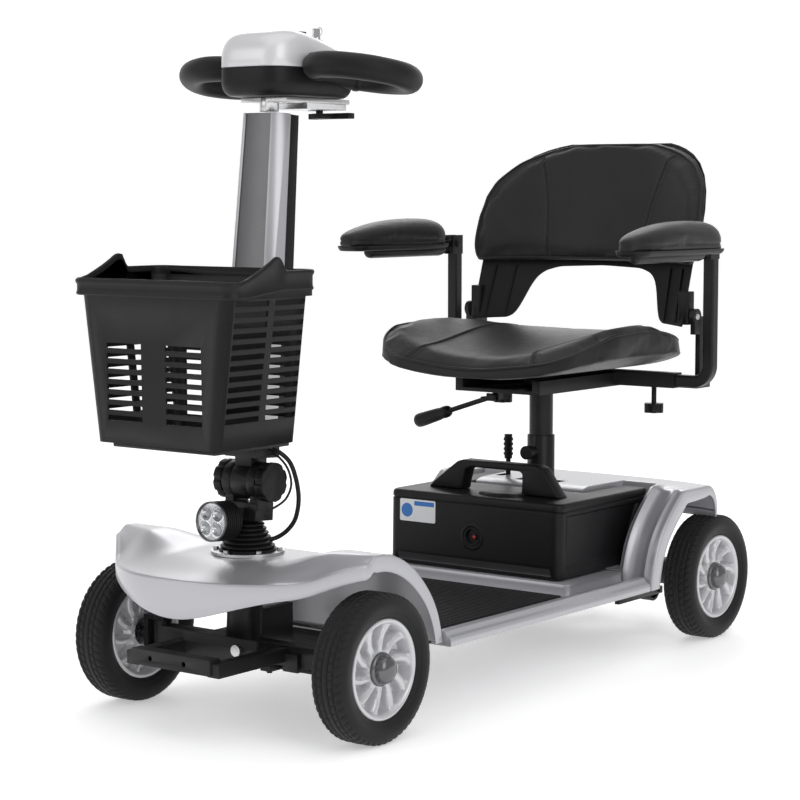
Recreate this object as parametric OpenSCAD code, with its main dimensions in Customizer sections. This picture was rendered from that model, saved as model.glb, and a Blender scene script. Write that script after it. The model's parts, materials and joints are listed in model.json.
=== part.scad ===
// Travel mobility scooter with four wheels, a folding tiller and a swivel seat.
// Right-handed, +Z up, the rider faces -Y, and the tyres stand on z = 0.

/* [Wheels] */
// Distance between the front and rear axles
wheelbase = 881; // [870:1:890]
// Outer diameter of the tyres
tyre_d = 200; // [196:1:202]
// Width of each tyre
tyre_w = 54; // [50:1:56]
// Diameter of the rim barrel that the tyre sits on
rim_d = 134; // [130:1:136]
// Distance from the middle of the scooter to the outer side of each tyre
wheel_out = 240; // [238:1:244]
// Distance from the middle of the scooter to each kingpin
kingpin_x = 160; // [158:1:162]

/* [Chassis] */
// Height of the floor pan's underside
floor_z = 106; // [106:1:108]
// Half of the floor pan's width over the sills
sill_x = 236; // [232:1:237]
// Wall thickness of the plastic covers
cover_t = 3; // [2.5:0.1:3.2]

/* [Tiller] */
// Lean of the steering axis from upright, in degrees
rake = 4; // [3.5:0.1:4.5]
// Height of the fold pivot above the foot of the steering boot
pivot_rise = 99; // [98:1:100]
// Length of the column between its two end caps
column_len = 445; // [442:1:447]

/* [Basket] */
// Width of the basket's mouth
basket_w = 280; // [262:1:282]
// Height of the basket's front wall
basket_h = 215; // [212:1:217]

/* [Battery box] */
// Width of the battery box
box_w = 322; // [318:1:326]
// Height of the battery box's lid
box_top = 250; // [248:1:251]

/* [Seat] */
// Diameter of the seat post
post_d = 38; // [36:1:38]
// Travel of the seat post
post_travel = 60; // [50:1:60]
// Half of the seat cushion's width
seat_half_w = 215; // [212:1:217]
// Side of the square arm tubes
arm_tube = 19; // [18:0.5:19.5]
// Distance from the middle to each upright arm tube
arm_x = 248; // [247:1:250]

/* [Hidden] */
$fn = 48;
hull_fn = 24;
run_gap = 0.05;

axle_y = wheelbase / 2;
axle_z = tyre_d / 2;
rear_reach = axle_y + axle_z;
basket_front = -621;
basket_back = -464;
lip_reach = 7.5;
front_reach = lip_reach - basket_front;
mid_y = (front_reach - rear_reach) / 2;
wheel_x = wheel_out - tyre_w / 2;

steer_y = -443;
steer_z = 231;
stem_r = 12;
post_y = 275;
post_r = post_d / 2;
seat_z = 433;
shelf_z = 133;
socket_z = 420;
arm_y = 380;
lap_pivot = [0, 385, 522];
pad_pivot = [250, 376, 632];
arm_y0 = 57;

// ---------------------------------------------------------------- helpers

// Moves a piece from the wheelbase frame to the middle of the whole length
module placed() translate([0, mid_y, 0]) children();

// The frame of the steering axis: z runs up the stem from the foot of the boot
module on_stem() translate([0, steer_y, steer_z]) rotate([-rake, 0, 0]) children();

module both_sides() {
  children();
  mirror([1, 0, 0]) children();
}

module rod_x(d, l) rotate([0, 90, 0]) cylinder(d = d, h = l, center = true);
module rod_y(d, l) rotate([90, 0, 0]) cylinder(d = d, h = l, center = true);
module block(x, y, z) translate([x[0], y[0], z[0]]) cube([x[1] - x[0], y[1] - y[0], z[1] - z[0]]);

function arc(c, r, a, b, n = 6) =
  [for (i = [0:n]) let (t = a + (b - a) * i / n) [c[0] + r * cos(t), c[1] + r * sin(t)]];
function round_rect(w, h, r) = concat(
  arc([w / 2 - r, h / 2 - r], r, 0, 90),
  arc([-w / 2 + r, h / 2 - r], r, 90, 180),
  arc([-w / 2 + r, -h / 2 + r], r, 180, 270),
  arc([w / 2 - r, -h / 2 + r], r, 270, 360));
module slab(w, h, t, r) linear_extrude(t) polygon(round_rect(w, h, r));

function clamp01(t) = min(1, max(0, t));
function smooth(t) = let (c = clamp01(t)) c * c * (3 - 2 * c);
function mix(a, b, t) = a + (b - a) * t;

// Value of a line through knots [[x, y], ...] at x
function along(k, x, i = 0) =
  i >= len(k) - 2 || x <= k[i + 1][0]
    ? mix(k[i][1], k[i + 1][1], clamp01((x - k[i][0]) / (k[i + 1][0] - k[i][0])))
    : along(k, x, i + 1);

function flat(v) = [for (a = v) for (b = a) b];

// Closed solid between an upper and a lower grid of points; i runs along +X and j along +Y
module between(top, bottom) {
  nu = len(top);
  nv = len(top[0]);
  function id(k, i, j) = k * nu * nv + i * nv + j;
  function quad(a, b, c, d) = [[a, b, d], [d, b, c]];
  faces = flat(concat(
    [for (i = [0:nu - 2], j = [0:nv - 2])
      quad(id(0, i, j), id(0, i, j + 1), id(0, i + 1, j + 1), id(0, i + 1, j))],
    [for (i = [0:nu - 2], j = [0:nv - 2])
      quad(id(1, i, j), id(1, i + 1, j), id(1, i + 1, j + 1), id(1, i, j + 1))],
    [for (j = [0:nv - 2]) quad(id(0, 0, j), id(1, 0, j), id(1, 0, j + 1), id(0, 0, j + 1))],
    [for (j = [0:nv - 2])
      quad(id(0, nu - 1, j), id(0, nu - 1, j + 1), id(1, nu - 1, j + 1), id(1, nu - 1, j))],
    [for (i = [0:nu - 2]) quad(id(0, i, 0), id(0, i + 1, 0), id(1, i + 1, 0), id(1, i, 0))],
    [for (i = [0:nu - 2])
      quad(id(0, i, nv - 1), id(1, i, nv - 1), id(1, i + 1, nv - 1), id(0, i + 1, nv - 1))]));
  polyhedron(concat(flat(top), flat(bottom)), faces);
}

function unit(v) = v / norm(v);
function grid_normal(g, i, j) =
  let (a = g[min(i + 1, len(g) - 1)][j] - g[max(i - 1, 0)][j],
       b = g[i][min(j + 1, len(g[0]) - 1)] - g[i][max(j - 1, 0)])
  unit(cross(a, b));

// A skin of even thickness below a grid
module skin(g, t) {
  lower = [for (i = [0:len(g) - 1]) [for (j = [0:len(g[0]) - 1]) g[i][j] - t * grid_normal(g, i, j)]];
  between(g, lower);
}

// A round tube along an open or a closed path
module tube_along(path, r, sides, closed = false, side = [0, 0, 1]) {
  n = len(path);
  function at(i) = path[(i + n) % n];
  function heading(i) = closed || (i > 0 && i < n - 1)
    ? unit(at(i + 1) - at(i - 1))
    : (i == 0 ? unit(path[1] - path[0]) : unit(path[n - 1] - path[n - 2]));
  function ring(i) =
    let (t = heading(i), u = unit(cross(t, side)), v = cross(u, t))
    [for (k = [0:sides - 1]) at(i) + r * (u * cos(360 * k / sides) + v * sin(360 * k / sides))];
  last = closed ? n - 1 : n - 2;
  faces = concat(
    [for (i = [0:last], k = [0:sides - 1], h = [0, 1])
      let (a = i * sides, b = ((i + 1) % n) * sides, m = (k + 1) % sides)
      h == 0 ? [a + k, b + k, a + m] : [a + m, b + k, b + m]],
    closed ? [] : [[for (k = [0:sides - 1]) k], [for (k = [sides - 1:-1:0]) (n - 1) * sides + k]]);
  polyhedron(flat([for (i = [0:n - 1]) ring(i)]), faces);
}

// ---------------------------------------------------------------- wheels

tread_w = tyre_w - 10;

// The tyre's section: bead, bulged wall, rounded shoulder and tread
module tyre() rotate([0, 90, 0]) rotate_extrude($fn = 96) polygon([
  [rim_d / 2 + 0.2, -20], [rim_d / 2 + 8, -24], [84, -tyre_w / 2], [91, -tyre_w / 2 + 0.8],
  [axle_z - 2.5, -tread_w / 2 + 1], [axle_z, -tread_w / 2 + 6],
  [axle_z, tread_w / 2 - 6], [axle_z - 2.5, tread_w / 2 - 1],
  [91, tyre_w / 2 - 0.8], [84, tyre_w / 2], [rim_d / 2 + 8, 24], [rim_d / 2 + 0.2, 20]]);

hub_r = 19;
hub_bore_r = 8;
spoke_count = 10;

// The rim, outer side towards +X; a front hub has a bore and a rear hub carries its half shaft
module rim(driven) {
  difference() {
    union() {
      rotate([0, 90, 0]) rotate_extrude() polygon([
        [rim_d / 2 - 5, -21], [rim_d / 2, -21], [rim_d / 2, 21], [rim_d / 2 - 5, 21]]);
      translate([1, 0, 0]) rod_x(2 * hub_r, 40);
      for (k = [0:spoke_count - 1])
        rotate([360 * k / spoke_count, 0, 0]) block([3, 15], [-5, 5], [hub_r - 3, rim_d / 2 - 3]);
      translate([24, 0, 0]) rod_x(30, 14);
    }
    if (!driven) translate([-4, 0, 0]) rod_x(2 * (hub_bore_r + run_gap), 52);
  }
  if (driven) translate([-86, 0, 0]) rod_x(2 * hub_bore_r, 134);
}

module wheel_at(side, end) placed() translate([0, end * axle_y, axle_z])
  mirror([side < 0 ? 1 : 0, 0, 0]) translate([wheel_x, 0, 0]) children();

// ---------------------------------------------------------------- chassis

rail_x = 90;
rail_w = 25;
rail_back = 416;
rail_z = [81, floor_z - 0.5];
roller_arm = [72, 80];
beam_z = [86, 114];
head_tube_r = 24;
bearing_r = 18;
tube_low = -134;
plate_y = -500;

module frame() color("#1d1d1f") placed() difference() {
  union() {
    both_sides() block([rail_x - rail_w / 2, rail_x + rail_w / 2], [-axle_y - 20, rail_back], rail_z);
    for (y = [-300, -60, 180]) block([-rail_x, rail_x], [y - 12, y + 12], [82, floor_z - 1]);
    // front axle beam with its kingpin sleeves
    block([-kingpin_x, kingpin_x], [-axle_y - 12, -axle_y + 12], beam_z);
    both_sides() translate([kingpin_x, -axle_y, 79.4]) cylinder(r = 13, h = 41.2);
    // head tube with its gusset
    on_stem() translate([0, 0, tube_low]) cylinder(r = head_tube_r, h = -tube_low - 6);
    block([-5, 5], [steer_y - 6, steer_y + 90], [88, 150]);
    // U-shaped bumper
    block([-70, 70], [-597, -577], [96, 117]);
    both_sides() block([62, 82], [-593, -axle_y], [94, 112]);
    block([-66, 66], [plate_y, plate_y + 5], [90, 126]);
    // seat tube socket and its feet
    block([-rail_x, rail_x], [post_y - 40, post_y + 40], [92, floor_z - 1.5]);
    // arms for the anti-tip rollers
    both_sides() block(roller_arm, [390, 528], [44, 56]);
    both_sides() block(roller_arm, [388, 402], [44, 84]);
  }
  both_sides() translate([kingpin_x, -axle_y, 60]) cylinder(r = 7 + run_gap, h = 80);
  on_stem() translate([0, 0, tube_low - 20]) cylinder(r = bearing_r, h = -tube_low + 60);
  // channel behind the bumper bar and its two bolt holes
  block([-58, 58], [-592, -570], [99, 114]);
  for (x = [-36, 24]) translate([x, -594, 106.5]) rod_y(7, 14);
  // pin holes for the anti-tip rollers
  translate([0, 520, 50]) rod_x(2 * (4 + run_gap), 200);
}

// The flange and the boot stand level on the cover, round the leaning stem
boot_y = steer_y + 1.5;
flange_z = steer_z + 0.4;
flange_t = 4;
module stem_flange() color("#a9a9ab") placed() translate([0, boot_y, flange_z]) difference() {
  cylinder(r = 50, h = flange_t);
  translate([0, 0, -2]) cylinder(r = 17, h = 12);
}

// Ribbed cone round the foot of the stem
boot_ribs = 6;
module stem_boot() color("#161617") placed() translate([0, boot_y, flange_z + flange_t + 0.1])
  rotate_extrude() polygon(concat(
    [[15.5, 0], [38, 0]],
    [for (i = [0:boot_ribs - 1]) for (p = [[0, 0.5], [0, 4], [-4, 5.6]])
      [mix(38, 21, i / boot_ribs) + p[0], i * 6 + p[1]]],
    [[19, 38], [15.5, 38]]));

module bearings() color("silver") placed() {
  on_stem() for (z = [tube_low, -16]) translate([0, 0, z]) difference() {
    cylinder(r = bearing_r, h = 10);
    translate([0, 0, -1]) cylinder(r = stem_r + run_gap, h = 12);
  }
}

module fasteners() color("silver") placed() {
  translate([0, boot_y, flange_z + flange_t + 0.1]) for (a = [30:60:330])
    rotate([0, 0, a]) translate([44, 0, 0]) cylinder(d = 8, h = 4, $fn = 6);
  // head of the bolt in the frame's front plate
  translate([32, plate_y - 2.6, 110]) rod_y(16, 5);
}

// Front cover ------------------------------------------------------

nose_y = -600;
fender_x = 165;

// Plan line of the nose: bowed between its corners, then straight back and out to the fenders
corner_x = 162;
fender_out = 225;
function nose_line(x) = nose_y + 70 * pow(min(abs(x) / corner_x, 1), 2.4) + 1.05 * max(0, abs(x) - corner_x);

// Height of the crease along that line
function crease_z(x) = along([[140, 217], [165, 217], [200, 236], [fender_out, 246]], abs(x));

// Radius of the fender's crown about the axle, by angle above the level
function crown(a) = 141 + 9 * smooth((a - 38) / 55);

// Side line of the fender: from the nose crease (t = 0) over the crown to the floor (t = 1)
crest_t = 0.48;
function fender_line(x, t) = t < crest_t
  ? let (s = t / crest_t)
    [mix(nose_line(x), -axle_y, s), mix(crease_z(x), axle_z + crown(90), smooth(s * 1.25 + 0.02))]
  : let (a = mix(90, 5, (t - crest_t) / (1 - crest_t)))
    [-axle_y + crown(a) * cos(a), axle_z + crown(a) * sin(a)];

// Middle line of the cover: a shallow saddle round the tiller
function saddle_line(y0, t) = t < crest_t
  ? let (s = t / crest_t) [mix(y0, -axle_y, s), mix(217, steer_z, smooth(1.3 * s))]
  : let (a = mix(90, 5, (t - crest_t) / (1 - crest_t)))
    [-axle_y + 140 * cos(a), axle_z + (steer_z - axle_z) * min(1, 1.1 * sin(a))];

function cover_point(x, t) =
  let (w = smooth((abs(x) - 95) / 75), a = fender_line(x, t), b = saddle_line(nose_line(x), t),
       p = mix(b, a, w))
  [x, p[0], p[1]];

cover_xs = concat([for (k = [-11:-1]) k], [0], [for (k = [1:11]) k]);
function cover_station(k) =
  sign(k) * along([[0, 0], [5, 110], [7, 148], [8, corner_x], [10, 215], [11, fender_out]], abs(k));
cover_n = 26;
cover_grid = [for (k = cover_xs) [for (j = [0:cover_n]) cover_point(cover_station(k), j / cover_n)]];

// Drop of the lip under the nose crease and along the fender edge
function nose_drop(x) = mix(52, 18, smooth(abs(x) / 172));

module front_cover() color("#c9c9cd") placed() difference() {
  union() {
    skin(cover_grid, cover_t);
    nose_band();
    both_sides() fender_lip();
  }
  on_stem() translate([0, 0, -40]) cylinder(r = 30, h = 80);
}

module nose_band() {
  outer = [for (k = cover_xs) let (x = cover_station(k), y = nose_line(x), p = cover_point(x, 0))
    [[x, y, p[2] - nose_drop(x)], [x, y, p[2]]]];
  inner = [for (g = outer) [for (p = g) [p[0] * 0.985, p[1] + cover_t, p[2] - 0.3]]];
  between(outer, inner);
}

// The lip hangs from the cover's edge towards the wheel
module fender_lip() {
  ts = [for (j = [0:cover_n]) j / cover_n];
  x1 = fender_out;
  function drop(t) = along([[0, 17], [0.25, 17], [crest_t, 19], [0.75, 11], [1, 9]], t);
  function low(t) = let (p = fender_line(x1, t), c = [-axle_y - 30, axle_z + 10])
    p + drop(t) * unit([c[0] - p[0], c[1] - p[1]]);
  upper = [for (t = ts) let (p = fender_line(x1, t)) [[x1 - 2.6, p[0], p[1]], [x1, p[0], p[1]]]];
  lower = [for (t = ts) let (p = low(t)) [[x1 - 2.6, p[0], p[1]], [x1, p[0], p[1]]]];
  between(
    [[for (g = upper) g[0]], [for (g = upper) g[1]]],
    [[for (g = lower) g[0]], [for (g = lower) g[1]]]);
}

// Floor ------------------------------------------------------------

shelf_front = 74;
floor_front = -296;
floor_back = 226;
sill_rib = [[sill_x - 42, 112], [sill_x - 38, 121], [sill_x - 26, 122], [sill_x - 23, 127],
  [sill_x - 6, 128], [sill_x, 122], [sill_x, floor_z], [sill_x - 42, floor_z]];

module floor_pan() color("#c4c4c8") placed() difference() {
  union() {
    block([-sill_x + 30, sill_x - 30], [floor_front, floor_back], [floor_z, 112]);
    both_sides() translate([0, floor_back, 0]) rotate([90, 0, 0]) linear_extrude(floor_back - floor_front)
      polygon(sill_rib);
    block([-184, 184], [shelf_front, floor_back], [floor_z, shelf_z - 0.6]);
  }
  block([-178, 178], [shelf_front + 4, floor_back + 6], [floor_z - 1, shelf_z - 4]);
  both_sides() block([sill_x - 32, sill_x - 4], [floor_front + 4, floor_back - 4], [floor_z - 1, 118]);
}

rib_pitch = 9;
module floor_mat() color("#1b1b1c") placed() union() {
  translate([0, -108, 112]) slab(368, 356, 3, 14);
  for (y = [-280:rib_pitch:64]) block([-176, 176], [y, y + 4], [114, 117]);
}

// Rear cover -------------------------------------------------------

// Front line of the cover by distance from the middle: round the seat tube, behind the box, the arch
notch_x = 108;
function rear_foot(x) = along([[0, 232], [notch_x - 6, 232], [notch_x, 272], [168, 276], [176, 229]], x);
function rear_brow(x) = along([[0, 238], [notch_x - 6, 238], [notch_x, 350], [168, 354], [176, 318]], x);
arch_bulge = [[0, 0], [notch_x, 0], [168, 0], [176, -17], [240, -17]];

function rear_point(x, t) =
  let (ax = abs(x), f = rear_foot(ax), b = rear_brow(ax),
       bulge = -along(arch_bulge, ax),
       top = 256 - 4 * pow(ax / 237, 4))
  t < 0.4
    ? let (s = t / 0.4) [x, mix(f, b, s) - bulge * sin(180 * s), mix(124, top - 5, pow(s, 0.8))]
    : t < 0.8
      ? let (s = (t - 0.4) / 0.4) [x, mix(b, 402, smooth(s)) + 2 * s, top - 5 * (1 - smooth(s * 4))]
      : let (s = (t - 0.8) / 0.2) [x, 404 + 28 * sin(90 * s), top - 42 * (1 - cos(90 * s))];

rear_xs = [0, 60, notch_x - 6, notch_x, 140, 168, 176, 200, 226, 237];
rear_n = 20;
rear_grid = [for (k = [-9:9]) let (x = sign(k) * rear_xs[abs(k)])
  [for (j = [0:rear_n]) rear_point(x, j / rear_n)]];

module rear_cover() color("#c9c9cd") placed() difference() {
  union() {
    skin(rear_grid, cover_t);
    both_sides() rear_lip();
  }
  translate([0, post_y, 100]) cylinder(r = 24, h = 200);
  block([-92, -78], [284, 314], [230, 290]);
}

module rear_lip() {
  ts = [for (j = [0:rear_n]) j / rear_n];
  x1 = 237;
  function low(t) = let (p = rear_point(x1, t), q = [p[1], p[2]], c = [385, 110])
    q + along([[0, 24], [0.4, 24], [0.8, 13], [1, 9]], t) * unit(c - q);
  function row(x, f) = [for (t = ts) let (p = f == 0 ? let (r = rear_point(x1, t)) [r[1], r[2]] : low(t))
    [x, p[0], p[1]]];
  between([row(x1 - 2.6, 0), row(x1, 0)], [row(x1 - 2.6, 1), row(x1, 1)]);
}

// Drive ------------------------------------------------------------

module drive_unit() color("#3a3b3e") placed() translate([0, axle_y, axle_z]) difference() {
  union() {
    rod_x(44, 340);
    translate([30, 0, 0]) rod_x(104, 34);
    translate([-30, -62, 0]) rod_x(80, 78);
    translate([-20, -62, 0]) rod_x(60, 100);
    block([14, 46], [-62, 0], [-38, 38]);
    both_sides() block([rail_x - 6, rail_x + 6], [-44, 0], [-32, rail_z[0] - axle_z - 0.4]);
  }
  rod_x(2 * (hub_bore_r + run_gap), 400);
}

module controller() color("#55565a") placed() difference() {
  block([-46, 46], [88, 212], [floor_z + 0.5, shelf_z - 5]);
  for (y = [96:14:200]) block([-60, 60], [y, y + 6], [floor_z + 14, shelf_z]);
}

module freewheel_lever() color("#19191a") placed() translate([-85, 306, 0]) {
  translate([0, 0, 214]) cylinder(r = 4, h = 70);
  translate([0, 0, 282]) cylinder(r = 6.5, h = 40);
  for (z = [288:8:316]) translate([0, 0, z]) cylinder(r = 8, h = 4);
  translate([0, 0, 214]) rod_x(14, 12);
}

module anti_tip_rollers() color("#202022") placed() translate([0, 520, 50]) {
  rod_x(8, 164);
  both_sides() translate([58, 0, 0]) difference() {
    rod_x(40, 20);
    rod_x(32, 30);
  }
  both_sides() translate([58, 0, 0]) rod_x(32.2, 6);
}

// Battery pack -----------------------------------------------------

box_front = 83;
box_notch = 112;
box_notch_y = 226;
box_lid_back = 344;
box_foot_back = 268;
case_wall = 3;

// Side view of the case: its back leans over the rear arch
function case_side(inset) = [
  [box_front + inset, shelf_z + 1 + inset], [box_foot_back - inset, shelf_z + 1 + inset],
  [box_lid_back - inset, box_top - inset], [box_front + inset + 2, box_top - inset]];

module case_body(inset) translate([-box_w / 2 + inset, 0, 0])
  rotate([90, 0, 90]) linear_extrude(box_w - 2 * inset) polygon(case_side(inset));

module battery_case() color("#19191a") placed() difference() {
  case_body(0);
  difference() {
    case_body(case_wall);
    block([-box_notch - 3, box_notch + 3], [box_notch_y - 3, 400], [100, 300]);
  }
  block([-box_notch, box_notch], [box_notch_y, 400], [100, 300]);
  translate([0, box_front, 187]) rod_y(30, 30);
  // cable entry below the lid's cap
  translate([28, 132, box_top - 6]) cylinder(r = 8, h = 10);
}

handle_w = 26;
module battery_handle() color("#1d1d1f") placed() translate([0, 150, box_top + 0.2]) {
  translate([0, handle_w / 2, 0]) rotate([90, 0, 0]) linear_extrude(handle_w) polygon([
    [-124, 0], [-114, 10], [-68, 45], [-57, 48], [82, 48], [93, 44], [117, 10], [126, 0],
    [55, 0], [55, 8], [56, 34], [50, 37], [-40, 37], [-50, 33], [-57, 8], [-58, 0]]);
}

module battery_cells() color("#2f3033") placed() both_sides()
  block([6, 104], [92, 218], [shelf_z + 6, box_top - 12]);

module charge_socket() color("#131314") placed() translate([0, box_front, 187]) {
  difference() {
    translate([0, 3.5, 0]) rod_y(29.6, 6.4);
    translate([0, 0, 0]) rod_y(24, 9);
  }
  translate([4, 3, 0]) rod_y(9, 5);
}

// Seat tube and post ----------------------------------------------

tube_top = 330;
pin_z = 304;

module seat_tube() color("#1c1c1e") placed() difference() {
  union() {
    translate([0, post_y, floor_z - 1.2]) cylinder(d = post_d + 6, h = tube_top - floor_z + 1.2);
    translate([0, post_y, floor_z - 1.2]) cylinder(r = 40, h = 6);
    translate([0, post_y - 24, pin_z]) rod_y(16, 16);
  }
  translate([0, post_y, 100]) cylinder(r = post_r + run_gap, h = 300);
  translate([0, post_y - 30, pin_z]) rod_y(2 * (5 + run_gap), 40);
}

module seat_post() color("#1c1c1e") placed() difference() {
  union() {
    translate([0, post_y, 180]) cylinder(r = post_r, h = 224);
    translate([0, post_y, 404]) cylinder(r = 12, h = 22);
  }
  // keyway that the height pin runs in
  block([-5.2, 5.2], [post_y - 30, post_y - post_r + 5], [pin_z - post_travel - 8, pin_z + 6]);
  translate([0, post_y, 170]) cylinder(r = post_r - 5.5, h = 226);
}

module height_pin() color("#232325") placed() translate([0, post_y, pin_z]) {
  translate([0, -27, 0]) rod_y(10, 20);
  translate([0, -39, 0]) rod_y(22, 10);
}

lever_z = 397;
module seat_frame() color("#202022") placed() difference() {
  union() {
    block([-80, 80], [150, 398], [406, 412]);
    both_sides() block([66, 80], [150, 398], [406, 428]);
    translate([0, post_y, 404.4]) cylinder(r = 32, h = 24);
    // receiver for the arm tubes
    block([-190, 190], [arm_y - 13, arm_y + 13], [socket_z - 12, socket_z + 12]);
    // uprights for the backrest hinge
    both_sides() block([160, 222], [385, 412], [socket_z - 12, socket_z]);
    both_sides() block([214, 222], [393, 428], [socket_z - 12, lap_pivot[2]]);
    both_sides() block([214, 222], [377, 428], [494, lap_pivot[2]]);
    both_sides() translate([218, lap_pivot[1], lap_pivot[2]]) rod_x(26, 8);
    // ear for the swivel lever
    block([-34, -22], [186, 214], [lever_z - 6, 408]);
  }
  translate([0, post_y, 400]) cylinder(r = 12 + run_gap, h = 40);
  both_sides() block([8, 260], [arm_y - arm_tube / 2 - 0.4, arm_y + arm_tube / 2 + 0.4],
    [socket_z - arm_tube / 2 - 0.4, socket_z + arm_tube / 2 + 0.4]);
  both_sides() translate([147, arm_y, 400]) cylinder(r = 4 + run_gap, h = 16);
  both_sides() translate([218, lap_pivot[1], lap_pivot[2]]) rod_x(2 * (5 + run_gap), 20);
  translate([-28, 200, lever_z]) rod_y(2 * (3 + run_gap), 60);
}

module swivel_lever() color("#1b1b1c") placed() translate([-28, 200, lever_z]) {
  rod_y(6, 40);
  for (y = [-17, 17]) translate([-6, y, -2]) cube([16, 4, 12], center = true);
  translate([-18, 0, -5]) cube([14, 38, 6], center = true);
  translate([-22, 0, -5]) rotate([0, -108, 0]) cylinder(r = 4, h = 90);
  translate([-22, 0, -5]) rotate([0, -108, 0]) translate([0, 0, 86]) cylinder(r = 8, h = 62);
}

// Arms -------------------------------------------------------------

bend_r = 26;
module square_tube(l) linear_extrude(l) polygon(round_rect(arm_tube, arm_tube, 3.5));

module arm() translate([0, arm_y, socket_z]) {
  difference() {
    union() {
      translate([60, 0, 0]) rotate([0, 90, 0]) square_tube(arm_x - bend_r - 60);
      translate([arm_x - bend_r, 0, bend_r]) rotate([90, 0, 0]) rotate([0, 0, -90])
        rotate_extrude(angle = 90) translate([bend_r, 0]) polygon(round_rect(arm_tube, arm_tube, 3.5));
      translate([arm_x, 0, bend_r]) square_tube(172);
      // ears of the flip-up hinge
      for (x = [-9.5, 5.5]) translate([arm_x + x, -18, 194]) cube([4, 28, 32]);
    }
    translate([arm_x, pad_pivot[1] - arm_y, pad_pivot[2] - socket_z]) rod_x(2 * (4 + run_gap), 60);
  }
}

pad_len = 258;
// Pad with its base plate and the tube below it, turning about the ears' pin
module arm_pad() translate([arm_x, 0, 0]) {
  translate([0, pad_pivot[1], pad_pivot[2]]) rod_x(8, 26);
  translate([0, pad_pivot[1] - 10, pad_pivot[2]]) cube([9, 40, 12], center = true);
  block([-4.5, 4.5], [150, 366], [612, 630]);
  block([-16, 46], [106, 352], [624, 630]);
  translate([15, 95 + pad_len / 2, 630.3]) pad_block();
}
module pad_block() {
  rows = [for (i = [-3:3]) [for (j = [-6:6])
    [i / 3 * 33 * sqrt(1 - pow(abs(j) / 6.6, 6)), j / 6 * pad_len / 2,
     16 + 28 * sqrt(1 - pow(abs(i) / 3.4, 2)) * sqrt(1 - pow(abs(j) / 6.4, 2))]]];
  foot = [for (g = rows) [for (p = g) [p[0], p[1], 0]]];
  between(rows, foot);
}

module arm_knob() translate([147, arm_y, 0]) {
  translate([0, 0, 380]) cylinder(r = 4, h = 29);
  translate([0, 0, 366]) difference() {
    cylinder(r = 16, h = 15);
    for (a = [30:60:330]) rotate([0, 0, a]) translate([19, 0, -1]) cylinder(r = 6, h = 20);
  }
}

// Cushions ---------------------------------------------------------

function seat_reach(y) = seat_half_w * along([[62, 0.62], [72, 0.76], [90, 0.88], [120, 0.965],
  [165, 1], [280, 1], [340, 0.965], [390, 0.9], [415, 0.8], [428, 0.62]], y);
function wing(y) = along([[62, 0.5], [110, 0.75], [165, 1], [270, 1], [350, 0.78], [428, 0.4]], y);
function seat_low(x) = seat_z + 29 * pow(abs(x) / 200, 2.6);
function seat_rise(y) = 28 * smooth((y - 110) / 260);
function seat_high(x, y) = seat_z + 26 + seat_rise(y)
  + (60 * wing(y) - seat_rise(y)) * pow(abs(x) / seat_half_w, 1.9) - 10 * pow(clamp01((110 - y) / 50), 2);

seat_ys = [62, 72, 90, 120, 165, 220, 280, 340, 390, 415, 428];
function seat_point(i, y, upper) = let (x = i / 8 * seat_reach(y), z = seat_high(x, y))
  [x, y, upper ? z : min(seat_low(x), z - 12)];
module seat_cushion() color("#1a1a1b") placed() between(
  [for (i = [-8:8]) [for (y = seat_ys) seat_point(i, y, true)]],
  [for (i = [-8:8]) [for (y = seat_ys) seat_point(i, y, false)]]);

lap_low = 601;
lap_top = 804;
lap_half_w = 220;
lap_lean = tan(18);
lap_dish = 72;
lap_round = 2.9;
function lap_half(z) = let (m = lap_low + 50)
  z < m ? mix(212, lap_half_w, sin(90 * (z - lap_low) / 50))
        : lap_half_w * pow(1 - pow((z - m) / (lap_top - m + 0.5), lap_round), 1 / lap_round);
function lap_y(x, z) = 360 + (z - lap_low) * lap_lean + lap_dish * (1 - pow(x / lap_half_w, 2));
lap_zs = [601, 604, 615, 651, 690, 720, 745, 765, 780, 791, 799, 803];

function lap_grid(shift, shrink) = [for (i = [-9:9]) [for (z = lap_zs)
  let (x = i / 9 * lap_half(z) * shrink) [x, lap_y(x, z) + shift, z]]];

module backrest_cushion() color("#1a1a1b") placed() between(lap_grid(0, 1), lap_grid(27, 1));

// Back shell of the backrest: it runs down on both sides of an arch to the hinge lugs
shell_half_w = 203;
function arch_low(x) =
  along([[0, 597], [80, 594], [106, 586], [122, 568], [130, 540], [134, 524], [146, 509],
    [shell_half_w, 506]], x);
function shell_grid(shift) = [for (i = [-9:9]) let (x = i / 9 * shell_half_w, low = arch_low(abs(x)))
  concat(
    [for (k = [0:3]) let (z = mix(low, lap_low, k / 4)) [x, lap_y(x, z) + shift, z]],
    [for (z = lap_zs) let (u = i / 9 * lap_half(z) * 0.96) [u, lap_y(u, z) + shift, z]])];

module backrest_frame() color("#202022") placed() union() {
  between(shell_grid(27.3), shell_grid(31));
  both_sides() block([192, 211], [lap_pivot[1] - 10, lap_pivot[1] + 10], [lap_pivot[2] - 13, 562]);
  both_sides() translate([212, lap_pivot[1], lap_pivot[2]]) rod_x(10, 22);
}

// Steering ---------------------------------------------------------

tie_z = 60;
pitman_z = -156;
eye_y = steer_y + arm_y0 * cos(rake) - 165 * sin(rake);

module steering_knuckle() translate([kingpin_x, -axle_y, axle_z]) {
  translate([0, 0, -26]) cylinder(r = 7, h = 52);
  block([-14, 24], [-14, 14], [21, 27]);
  block([-14, 24], [-14, 14], [-27, -21]);
  block([16, 24], [-14, 14], [-27, 27]);
  translate([43, 0, 0]) rod_x(16, 54);
  block([-8, 8], [0, arm_y0 + 8], [-27, -21]);
  translate([0, arm_y0, -tie_z + 20]) cylinder(r = 4, h = 18);
}

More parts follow.
